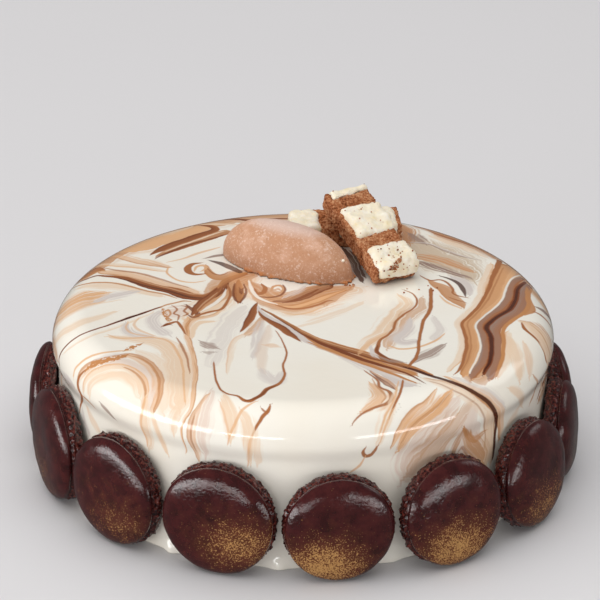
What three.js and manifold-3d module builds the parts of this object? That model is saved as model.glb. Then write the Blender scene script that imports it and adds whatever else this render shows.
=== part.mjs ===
// A round mirror-glazed cake. Half macarons stand on edge round its foot, their flat backs to the wall.
// A moulded quenelle and two layered bars of cocoa sponge and cream lie on top.
// Millimetres, +Z up. The origin is the centre of the cake's flat underside.

import * as THREE from 'three';
import { mergeVertices } from 'three/addons/utils/BufferGeometryUtils.js';
import { RoundedBoxGeometry } from 'three/addons/geometries/RoundedBoxGeometry.js';
import Module from 'manifold-3d';

const wasm = await Module();
wasm.setup();

// Driving dimensions of the cake
const CAKE_RADIUS = 90;
const CAKE_HEIGHT = 60;
const SHOULDER_RADIUS = 12.5;
const WALL_RADIUS = 88;
const FOOT_RADIUS = 86.5;
const FOOT_ROUNDING = 1.2;
const FLARE_HEIGHT = 7;
const CAKE_SEGMENTS = 84;
const SHOULDER_STEPS = 8;

// Glaze that ran down and set as a small ledge between the macarons
const DRIP_REACH = 1.9;
const DRIP_HEIGHT = 4;
const DRIP_HALF_WIDTH_DEG = 4;

// Clearance between neighbouring solids
const GAP = 0.3;

// Half macarons: each has a ruffled foot against the wall, a crease and a domed face
const SHELL_DEPTH = 10.4;
const SHELL_FOOT_DEPTH = 4.6;
const SHELL_CREASE = 0.9;
const SHELL_BACK_INSET = 0.8;
const DOME_FULLNESS = 0.6;
const DOME_STEPS = 3;
const SHELL_SEGMENTS = 28;
const RUFFLE_DEPTH = 0.3;
const RUFFLE_WAVES = 9;

// The macarons across the front: place round the cake, radius, lean towards the wall, distance off the wall
const FRONT_SHELLS = [
  { angle: -186.5, radius: 18.8, lean: 1.5, standoff: 0.4 },
  { angle: -159.7, radius: 20.1, lean: 0.5, standoff: 0.4 },
  { angle: -134.2, radius: 19.7, lean: 0.6, standoff: 0.4 },
  { angle: -108.0, radius: 19.9, lean: 1.1, standoff: 0.4 },
  { angle: -82.6, radius: 19.0, lean: 1.6, standoff: 1.3 },
  { angle: -57.9, radius: 19.2, lean: 6.7, standoff: 1.4 },
  { angle: -33.6, radius: 19.0, lean: 6.4, standoff: 1.3 },
  { angle: -9.8, radius: 17.6, lean: 2.2, standoff: 0.5 },
  { angle: 12.3, radius: 16.8, lean: 0.6, standoff: 0.4 },
];

// The macarons round the back fill what is left of the ring
const BACK_SHELL_COUNT = 6;
const BACK_SHELL_RADIUS = 17.9;
const BACK_SHELL_SPREAD = 0.25;
const BACK_SHELL_LEAN = 1.5;
const BACK_SHELL_STANDOFF = 0.6;

// Quenelle: an oval with a flat base, blunter at one end
const QUENELLE = { length: 54, width: 23.8, height: 16.7, x: -5.6, y: 31.9, turn: -29.9 };
const QUENELLE_BLUNT_END = 2.35;
const QUENELLE_POINTED_END = 2.0;
const QUENELLE_PLAN_FULLNESS = 0.6;
const QUENELLE_SIDE_FULLNESS = 0.5;
const QUENELLE_CREST_REACH = 1.15;
const QUENELLE_RINGS = 30;
const QUENELLE_SIDES = 24;

// Layered bars. Bands run along the length; the sponge also forms the underside and one long side.
// A cream band is given at the sponge side and at the far side, as the cuts run a little askew.
const FRONT_BAR = {
  name: 'front_bar',
  length: 45.7,
  width: 17.4,
  thickness: 7.2,
  underside: 2.2,
  side: 1.9,
  place: [33.4, 17.9],
  turn: 25.8,
  tilt: 17.6,
  seed: 11,
  creamBulge: 0.7,
  creams: [
    { part: 'cream_foot', near: [-2, 11.3], far: [-2, 12.4] },
    { part: 'cream_middle', near: [18.6, 34.9], far: [20.8, 34.6] },
    { part: 'cream_cap', near: [40.4, 48], far: [43.6, 48] },
  ],
};
const REAR_BAR = {
  name: 'rear_bar',
  length: 40.5,
  width: 17,
  thickness: 8.6,
  underside: 3.6,
  side: 1.6,
  place: [15.8, 56.6],
  turn: -85,
  tilt: 0,
  seed: 23,
  creamBulge: 0.1,
  creams: [
    { part: 'cream_left', near: [-2, 9.4], far: [-2, 10.2] },
    { part: 'cream_middle', near: [16.4, 22.8], far: [17.2, 23.6] },
    { part: 'cream_right', near: [29.4, 38.2], far: [30.2, 38.6] },
  ],
};
const BAR_ROUNDING = 1.1;
const BAR_ROUNDING_STEPS = 3;
const SPONGE_ROUGHNESS = 0.28;
const CREAM_SETBACK = 0.2;
const CREAM_SIDE_BULGE = 0.3;
const CREAM_DIVISIONS = 5;

// Crossed waves that make the bars uneven, in radians per millimetre along x, y and z
const UNEVEN_WAVES = [
  new THREE.Vector3(1.7, 0.9, 0),
  new THREE.Vector3(0, 0.8, -1.3),
  new THREE.Vector3(1.1, -1.6, 2.3),
];

// Finishes
const GLAZE = { color: 0xf1e6d8, roughness: 0.12, metalness: 0 };
const SHELL = { color: 0x4a2a26, roughness: 0.42, metalness: 0.1 };
const MOUSSE = { color: 0xb98263, roughness: 0.75, metalness: 0 };
const SPONGE = { color: 0x8a5337, roughness: 0.95, metalness: 0 };
const CREAM = { color: 0xf2ead8, roughness: 0.6, metalness: 0 };

const radians = THREE.MathUtils.degToRad;

const part = new THREE.Group();

function addMesh(parent, name, geometry, finish) {
  const mesh = new THREE.Mesh(geometry, new THREE.MeshStandardMaterial(finish));
  mesh.name = name;
  parent.add(mesh);
  return mesh;
}

// A repeatable stream of numbers from 0 to 1
function seededRandom(seed) {
  let state = seed;
  return () => {
    state = (state * 16807) % 2147483647;
    return state / 2147483647;
  };
}

// One closed skin: shared corners are merged and only positions are kept
function weld(geometry) {
  const bare = geometry.clone();
  bare.deleteAttribute('normal');
  bare.deleteAttribute('uv');
  return mergeVertices(bare, 1e-4);
}

// Moves every corner of a geometry by a rule that maps a point to a point
function reshape(geometry, rule) {
  const position = geometry.attributes.position;
  const point = new THREE.Vector3();
  for (let i = 0; i < position.count; i += 1) {
    point.fromBufferAttribute(position, i);
    const moved = rule(point);
    position.setXYZ(i, moved.x, moved.y, moved.z);
  }
  return geometry;
}

function toSolid(geometry) {
  const skin = weld(geometry);
  return new wasm.Manifold(new wasm.Mesh({
    numProp: 3,
    vertProperties: new Float32Array(skin.attributes.position.array),
    triVerts: new Uint32Array(skin.index.array),
  }));
}

function fromSolid(solid) {
  const mesh = solid.getMesh();
  const geometry = new THREE.BufferGeometry();
  geometry.setAttribute('position', new THREE.BufferAttribute(mesh.vertProperties, 3));
  geometry.setIndex(new THREE.BufferAttribute(mesh.triVerts, 1));
  return geometry;
}

// Macarons

function shellPlaces() {
  const random = seededRandom(7);
  const first = FRONT_SHELLS[FRONT_SHELLS.length - 1].angle;
  const last = FRONT_SHELLS[0].angle + 360;
  const step = (last - first) / (BACK_SHELL_COUNT + 1);
  const places = [...FRONT_SHELLS];
  for (let i = 1; i <= BACK_SHELL_COUNT; i += 1) {
    places.push({
      angle: first + i * step,
      radius: BACK_SHELL_RADIUS + (random() - 0.5) * 2 * BACK_SHELL_SPREAD,
      lean: BACK_SHELL_LEAN * (0.5 + random()),
      standoff: BACK_SHELL_STANDOFF,
    });
  }
  return places;
}

// Half outline of a shell from the middle of its back to the middle of its dome, axis along y
function shellProfile(radius) {
  const domeBase = SHELL_FOOT_DEPTH + SHELL_CREASE;
  const profile = [
    new THREE.Vector2(0, 0),
    new THREE.Vector2(radius - SHELL_BACK_INSET, 0),
    new THREE.Vector2(radius, SHELL_BACK_INSET),
    new THREE.Vector2(radius, SHELL_FOOT_DEPTH - SHELL_CREASE),
    new THREE.Vector2(radius - SHELL_CREASE, SHELL_FOOT_DEPTH),
  ];
  for (let i = 0; i < DOME_STEPS; i += 1) {
    const turn = (Math.PI / 2) * (i / DOME_STEPS);
    const r = radius * Math.cos(turn) ** DOME_FULLNESS;
    profile.push(new THREE.Vector2(r, domeBase + (SHELL_DEPTH - domeBase) * Math.sin(turn)));
  }
  profile.push(new THREE.Vector2(0, SHELL_DEPTH));
  return profile;
}

function shellGeometry(radius, phase) {
  const lathe = new THREE.LatheGeometry(shellProfile(radius), SHELL_SEGMENTS);
  reshape(lathe, (p) => {
    const onFoot = p.y > 0 && p.y < SHELL_FOOT_DEPTH - 0.1;
    if (!onFoot) return p;
    const around = Math.atan2(p.z, p.x);
    const ruffle = RUFFLE_DEPTH * (Math.sin(RUFFLE_WAVES * around + phase) - 1) / 2;
    const stretch = 1 + ruffle / Math.hypot(p.x, p.z);
    return new THREE.Vector3(p.x * stretch, p.y, p.z * stretch);
  });
  return weld(lathe).rotateZ(-Math.PI / 2);
}

function addShell(place, index) {
  const lean = radians(place.lean);
  const reaches = shellProfile(place.radius).map((p) => p.x * Math.cos(lean) - p.y * Math.sin(lean));
  const spoke = new THREE.Group();
  spoke.rotation.z = radians(place.angle);
  const name = `macaron_${String(index + 1).padStart(2, '0')}`;
  const mesh = addMesh(spoke, name, shellGeometry(place.radius, index), SHELL);
  const backRadius = WALL_RADIUS + place.standoff + place.radius * Math.sin(lean);
  mesh.position.set(backRadius, 0, Math.max(...reaches));
  mesh.rotation.y = -lean;
  part.add(spoke);
}

// Cake

// Half outline from the middle of the underside to the middle of the top, axis along y
function cakeProfile() {
  const shoulderBase = CAKE_HEIGHT - SHOULDER_RADIUS;
  const shoulderCentre = CAKE_RADIUS - SHOULDER_RADIUS;
  const wallTop = shoulderBase - FLARE_HEIGHT;
  const flareRadius = (WALL_RADIUS + CAKE_RADIUS) / 2;
  const profile = [
    new THREE.Vector2(0, 0),
    new THREE.Vector2(FOOT_RADIUS, 0),
    new THREE.Vector2(FOOT_RADIUS + FOOT_ROUNDING, FOOT_ROUNDING),
    new THREE.Vector2(FOOT_RADIUS + FOOT_ROUNDING, DRIP_HEIGHT / 2),
    new THREE.Vector2(WALL_RADIUS, DRIP_HEIGHT),
    new THREE.Vector2(WALL_RADIUS, wallTop / 2),
    new THREE.Vector2(WALL_RADIUS, wallTop),
    new THREE.Vector2(flareRadius, wallTop + FLARE_HEIGHT / 2),
  ];
  for (let i = 0; i <= SHOULDER_STEPS; i += 1) {
    const turn = (Math.PI / 2) * (i / SHOULDER_STEPS);
    const r = shoulderCentre + SHOULDER_RADIUS * Math.cos(turn);
    profile.push(new THREE.Vector2(r, shoulderBase + SHOULDER_RADIUS * Math.sin(turn)));
  }
  profile.push(new THREE.Vector2(shoulderCentre / 2, CAKE_HEIGHT));
  profile.push(new THREE.Vector2(0, CAKE_HEIGHT));
  return profile;
}

// How far the set glaze stands out at a place round the foot, halfway between two macarons
function dripReach(angle, seams) {
  const wrap = (a) => THREE.MathUtils.euclideanModulo(a + 180, 360) - 180;
  const nearest = Math.min(...seams.map((seam) => Math.abs(wrap(angle - seam))));
  const fall = Math.max(0, 1 - nearest / DRIP_HALF_WIDTH_DEG);
  return DRIP_REACH * fall;
}

function addCake(places) {
  const angles = places.map((place) => place.angle);
  const seams = angles.map((angle, i) => {
    const next = i + 1 < angles.length ? angles[i + 1] : angles[0] + 360;
    return (angle + next) / 2;
  });
  const lathe = new THREE.LatheGeometry(cakeProfile(), CAKE_SEGMENTS).rotateX(Math.PI / 2);
  reshape(lathe, (p) => {
    const radius = Math.hypot(p.x, p.y);
    const onLedge = p.z < DRIP_HEIGHT - 0.1 && radius > FOOT_RADIUS - 1;
    if (!onLedge) return p;
    const reach = dripReach(THREE.MathUtils.radToDeg(Math.atan2(p.y, p.x)), seams);
    const stretch = 1 + reach / radius;
    return new THREE.Vector3(p.x * stretch, p.y * stretch, p.z);
  });
  addMesh(part, 'cake', weld(lathe), GLAZE);
}

// Quenelle

function quenelleGeometry() {
  const ball = new THREE.SphereGeometry(1, QUENELLE_SIDES, QUENELLE_RINGS);
  reshape(ball, (p) => {
    const along = p.y;
    const end = along < 0 ? QUENELLE_BLUNT_END : QUENELLE_POINTED_END;
    const around = Math.atan2(p.z, p.x);
    const onPole = Math.abs(along) > 1 - 1e-9;
    const taper = onPole ? 0 : 1 - Math.abs(along) ** end;
    const crest = onPole ? 0 : 1 - Math.abs(along) ** (QUENELLE_CREST_REACH * end);
    const spread = taper ** QUENELLE_PLAN_FULLNESS;
    const lift = crest ** QUENELLE_SIDE_FULLNESS;
    return new THREE.Vector3(
      (QUENELLE.length / 2) * along,
      (-QUENELLE.width / 2) * spread * Math.cos(around),
      QUENELLE.height * lift * Math.max(0, Math.sin(around)),
    );
  });
  return weld(ball);
}

function addQuenelle() {
  const mesh = addMesh(part, 'quenelle', quenelleGeometry(), MOUSSE);
  mesh.position.set(QUENELLE.x, QUENELLE.y, CAKE_HEIGHT + GAP);
  mesh.rotation.z = radians(QUENELLE.turn);
}

// Layered bars, built with x across, y along and z through the thickness

// Uneven surface from the crossed waves, between -1 and 1
function unevenness(p, phase) {
  const heights = UNEVEN_WAVES.map((wave, i) => Math.sin(wave.dot(p) + phase * (i + 1)));
  return heights.reduce((sum, height) => sum + height, 0) / UNEVEN_WAVES.length;
}

// A block between two askew cuts; span gives each cut's place at the sponge side and the far side
function slantedBlock(low, high, span, bar, divisions) {
  const box = new THREE.BoxGeometry(1, 1, 1, divisions, divisions, divisions);
  return reshape(box, (p) => {
    const x = THREE.MathUtils.lerp(low.x, high.x, p.x + 0.5);
    const z = THREE.MathUtils.lerp(low.z, high.z, p.z + 0.5);
    const across = x / bar.width;
    const start = THREE.MathUtils.lerp(span.near[0], span.far[0], across);
    const end = THREE.MathUtils.lerp(span.near[1], span.far[1], across);
    return new THREE.Vector3(x, THREE.MathUtils.lerp(start, end, p.y + 0.5), z);
  });
}

function creamPocket(bar, band) {
  const low = { x: bar.side, z: bar.underside };
  const high = { x: 2 * bar.width, z: 2 * bar.thickness };
  return slantedBlock(low, high, band, bar, 1);
}

// Cream fills its pocket up to the bar's faces, where it is uneven
function creamGeometry(bar, band) {
  const first = CREAM_SETBACK;
  const last = bar.length - CREAM_SETBACK;
  const span = {
    near: [Math.max(first, band.near[0] + GAP), Math.min(last, band.near[1] - GAP)],
    far: [Math.max(first, band.far[0] + GAP), Math.min(last, band.far[1] - GAP)],
  };
  const low = { x: bar.side + GAP, z: bar.underside + GAP };
  const high = { x: bar.width - CREAM_SETBACK, z: bar.thickness };
  const block = slantedBlock(low, high, span, bar, CREAM_DIVISIONS);
  return weld(reshape(block, (p) => {
    const moved = p.clone();
    const wave = unevenness(p, bar.seed);
    if (p.z > high.z - 1e-6) moved.z += bar.creamBulge * (1 + wave) / 2;
    if (p.x > high.x - 1e-6) moved.x += CREAM_SIDE_BULGE * wave;
    return moved;
  }));
}

function spongeGeometry(bar) {
  const { width, length, thickness } = bar;
  const block = new RoundedBoxGeometry(width, length, thickness, BAR_ROUNDING_STEPS, BAR_ROUNDING);
  block.translate(width / 2, length / 2, thickness / 2);
  const rough = reshape(block, (p) => {
    const wave = SPONGE_ROUGHNESS * unevenness(p, bar.seed + 1);
    const pull = (v, size) => (v / size - 0.5) * 2;
    return new THREE.Vector3(
      p.x - Math.abs(wave) * pull(p.x, width),
      p.y - Math.abs(wave) * pull(p.y, length),
      p.z - Math.abs(wave) * pull(p.z, thickness),
    );
  });
  let solid = toSolid(rough);
  for (const band of bar.creams) {
    solid = solid.subtract(toSolid(creamPocket(bar, band)));
  }
  return fromSolid(solid);
}

function addBar(bar, anchorAtFoot) {
  const stand = new THREE.Group();
  stand.position.set(bar.place[0], bar.place[1], CAKE_HEIGHT + GAP);
  stand.rotation.z = radians(bar.turn);
  const ramp = new THREE.Group();
  ramp.rotation.x = radians(bar.tilt);
  stand.add(ramp);
  const body = new THREE.Group();
  body.position.set(-bar.width / 2, anchorAtFoot ? 0 : -bar.length / 2, 0);
  ramp.add(body);
  addMesh(body, `${bar.name}_sponge`, spongeGeometry(bar), SPONGE);
  for (const band of bar.creams) {
    addMesh(body, `${bar.name}_${band.part}`, creamGeometry(bar, band), CREAM);
  }
  part.add(stand);
}

const places = shellPlaces();
addCake(places);
places.forEach(addShell);
addQuenelle();
addBar(FRONT_BAR, true);
addBar(REAR_BAR, false);

export default part;
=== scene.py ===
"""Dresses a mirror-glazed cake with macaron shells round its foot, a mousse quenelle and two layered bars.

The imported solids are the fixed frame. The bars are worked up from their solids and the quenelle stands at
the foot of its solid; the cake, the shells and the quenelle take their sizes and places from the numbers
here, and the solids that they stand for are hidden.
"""

import math
import random

import bpy
import numpy as np
from mathutils import Euler, Matrix, Vector, noise


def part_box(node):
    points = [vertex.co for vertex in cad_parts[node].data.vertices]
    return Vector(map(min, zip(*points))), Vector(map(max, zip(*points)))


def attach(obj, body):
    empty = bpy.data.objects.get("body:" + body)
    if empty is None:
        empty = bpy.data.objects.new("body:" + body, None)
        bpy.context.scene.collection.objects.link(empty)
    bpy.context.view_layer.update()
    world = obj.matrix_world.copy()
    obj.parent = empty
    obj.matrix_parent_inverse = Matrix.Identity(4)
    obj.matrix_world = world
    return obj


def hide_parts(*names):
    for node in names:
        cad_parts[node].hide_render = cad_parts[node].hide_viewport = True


bl_info = {
    "name": "Glazed cake looks",
    "version": (1, 0, 0),
    "blender": (4, 5, 0),
    "location": "3D View > Sidebar > Cake",
    "description": "Glaze, macaron shells, quenelle, layered bars, crumbs and stage of a celebration cake",
    "category": "Object",
}

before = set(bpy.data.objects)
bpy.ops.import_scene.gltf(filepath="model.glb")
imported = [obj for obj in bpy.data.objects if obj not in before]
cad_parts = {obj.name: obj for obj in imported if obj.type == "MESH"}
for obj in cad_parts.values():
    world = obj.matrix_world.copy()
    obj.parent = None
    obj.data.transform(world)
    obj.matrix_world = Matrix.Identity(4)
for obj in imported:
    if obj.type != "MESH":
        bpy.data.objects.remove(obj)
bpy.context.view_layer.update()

MM = 0.001
TURN = 2 * math.pi
UP = Vector((0, 0, 1))

# Options that many nodes share. A mix of colours takes its share at socket 0 and its colours at 6 and 7, and
# gives the result at 2. A map range takes its value at 0, the ends it maps from at 1 and 2, and the ends it
# maps to at 3 and 4.
MULTIPLY = {"operation": "MULTIPLY"}
MULTIPLY_ADD = {"operation": "MULTIPLY_ADD"}
SUBTRACT = {"operation": "SUBTRACT"}
MAXIMUM = {"operation": "MAXIMUM"}
COLOURS = {"data_type": "RGBA"}
SOFT_STEP = {"interpolation_type": "SMOOTHSTEP", "clamp": False}

# How streaks are laid, in mm on the glaze: the spacing of a path's points, how far past its edge a streak
# shows, claims the glaze and has its threads worked out, and the distance and width that stand for none
PATH_STEP = 0.8
SHOWN = 0.4
CLAIM = 1.5
SKIRT = 4.0
FAR_OFF = 1000.0
NO_WIDTH = 0.001
# Shift from one streak to the next along its threads, so that no two are drawn alike
THREAD_SHIFT = 37
# How many corners are worked out at a time
FIELD_BLOCK = 4000
SIDES = ("left", "core", "right")
# How wide each form is laid, as a share of the given half width
SPREAD = {
    "line": 0.76, "wash": 2.0, "fill": 1.0, "left": 1.35, "right": 1.35, "band": 1.1, "brush": 1.0, "to": 1.1}

# The camera that matches the photograph: eye and aim in metres, lens and sensor in mm, and in pixels the
# picture's width and the middle of the cake
EYE = Vector((-0.0011, -1.1426, 0.5922))
AIM = Vector((-0.0011, 0, 0.0611))
LENS = 211.2
SENSOR = 36
PICTURE = 600
CAKE_MIDDLE = (303, 330)
# A place just off a piece moves towards the middle of the cake by this share of the way, up to so many times
NUDGE = 0.005
NUDGES = 80

# Crumbs: how many lie on each cream, on the side that shows, and where others lie in pixels of the photograph
CREAM_CRUMBS = {
    "front_layered_cream_foot": 42, "front_layered_cream_middle": 16, "front_layered_cream_cap": 4}
SHOWN_SIDE = Vector((0, -0.5, 0.85))
FALLEN_CRUMBS = ((433, 291), (407, 289), (404, 293), (428, 286), (437, 288), (419, 290))
# A patch on the cream at the foot of the front bar, dense at its start and thin at its end
PATCH_START = (390, 271)
PATCH_END = (402, 257)
PATCH_CRUMBS = 60
PATCH_THINNING = 1.5
PATCH_ACROSS = (-3, 5)
PATCH_DOWN = (-2.5, 2.5)
# A row along the lower edge of the quenelle, which bows down on its way
FLANGE_START = (240, 268)
FLANGE_END = (356, 286)
FLANGE_CRUMBS = 46
FLANGE_BOW = 0.62
FLANGE_DOWN = (-0.6, 0.9)
# A pale fleck on the quenelle: its place, the way up there and its size in mm
FLECK = (343, 261)
FLECK_SIDE = Vector((0.1, -0.7, 0.7))
FLECK_SIZE = 1.1

# The quenelle: its turn on the cake in degrees, its middle in mm, and how blunt its left and right ends are
QUENELLE_TURN = -29.9
QUENELLE_MIDDLE = (-5.6, 31.9)
LEFT_END = 2.35
RIGHT_END = 2.0

# Softboxes: compass place and height in degrees round the place they light, then distance, width and height
# in metres
SOFTBOXES = {
    "key": (204, 5, 1.2, 1.25, 0.26),
    "top": (160, 82, 1.5, 2.7, 2.7),
    "fill": (262, 32, 1.6, 1.8, 1.0),
    "front_strip": (249, 5, 0.9, 0.4, 0.065),
    "right_strip": (312, 2, 0.5, 0.4, 0.055),
    "right": (20, 30, 1.3, 0.5, 0.5),
}
LIT_PLACE = Vector((0, 0, 0.05))
# Softboxes that the glaze and the shells don't mirror
UNMIRRORED = ("top", "fill")
# The floor's side in metres, and the strength of the room's even light
FLOOR_SIZE = 8
ROOM_LIGHT = 0.14

# Macaron shells: place round the cake in degrees, radius in mm, lean in degrees, distance off the wall in mm
FRONT_SHELLS = (
    (-186.5, 18.8, 1.5, 0.4),
    (-159.7, 20.1, 0.5, 0.4),
    (-134.2, 19.7, 0.6, 0.4),
    (-108.0, 19.9, 1.1, 0.4),
    (-82.6, 19.0, 1.6, 1.3),
    (-57.9, 19.2, 6.7, 1.4),
    (-33.6, 19.0, 6.4, 1.3),
    (-9.8, 17.6, 2.2, 0.5),
    (12.3, 16.8, 0.6, 0.4),
)
# Shells at the back, which the photograph doesn't show: how many, and their radius, lean and distance
BACK_SHELLS = 6
BACK_SHELL = (17.9, 1.5, 0.6)
# Where the bronze powder lies on the shells that show it, by their number: across and up as shares of the
# radius, seen from outside, and how much of it there is
DUSTING = {
    3: (0.35, -0.45, 0.45),
    4: (0.5, -0.3, 0.72),
    5: (-0.28, -0.6, 1.0),
    6: (-0.08, -0.6, 0.98),
    7: (0.0, -0.6, 0.6),
}

# Glaze tones
TONES = {
    "ivory": "#f5f0e5",
    "peach": "#ecd0b3",
    "apricot": "#e3b183",
    "tan": "#cf9f78",
    "caramel": "#c48855",
    "toffee": "#a8693d",
    "brown": "#7c3f1d",
    "cocoa": "#4b1f0d",
    "lilac": "#d8cdc6",
    "ash": "#9c8275",
    "blush": "#e8d5c6",
    "stone": "#d2bea6",
}

# The tone that a streak thins out to
PALER = {
    "cocoa": "toffee",
    "brown": "caramel",
    "toffee": "tan",
    "caramel": "apricot",
    "tan": "peach",
    "apricot": "peach",
    "peach": "ivory",
    "ash": "lilac",
    "lilac": "ivory",
}
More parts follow.
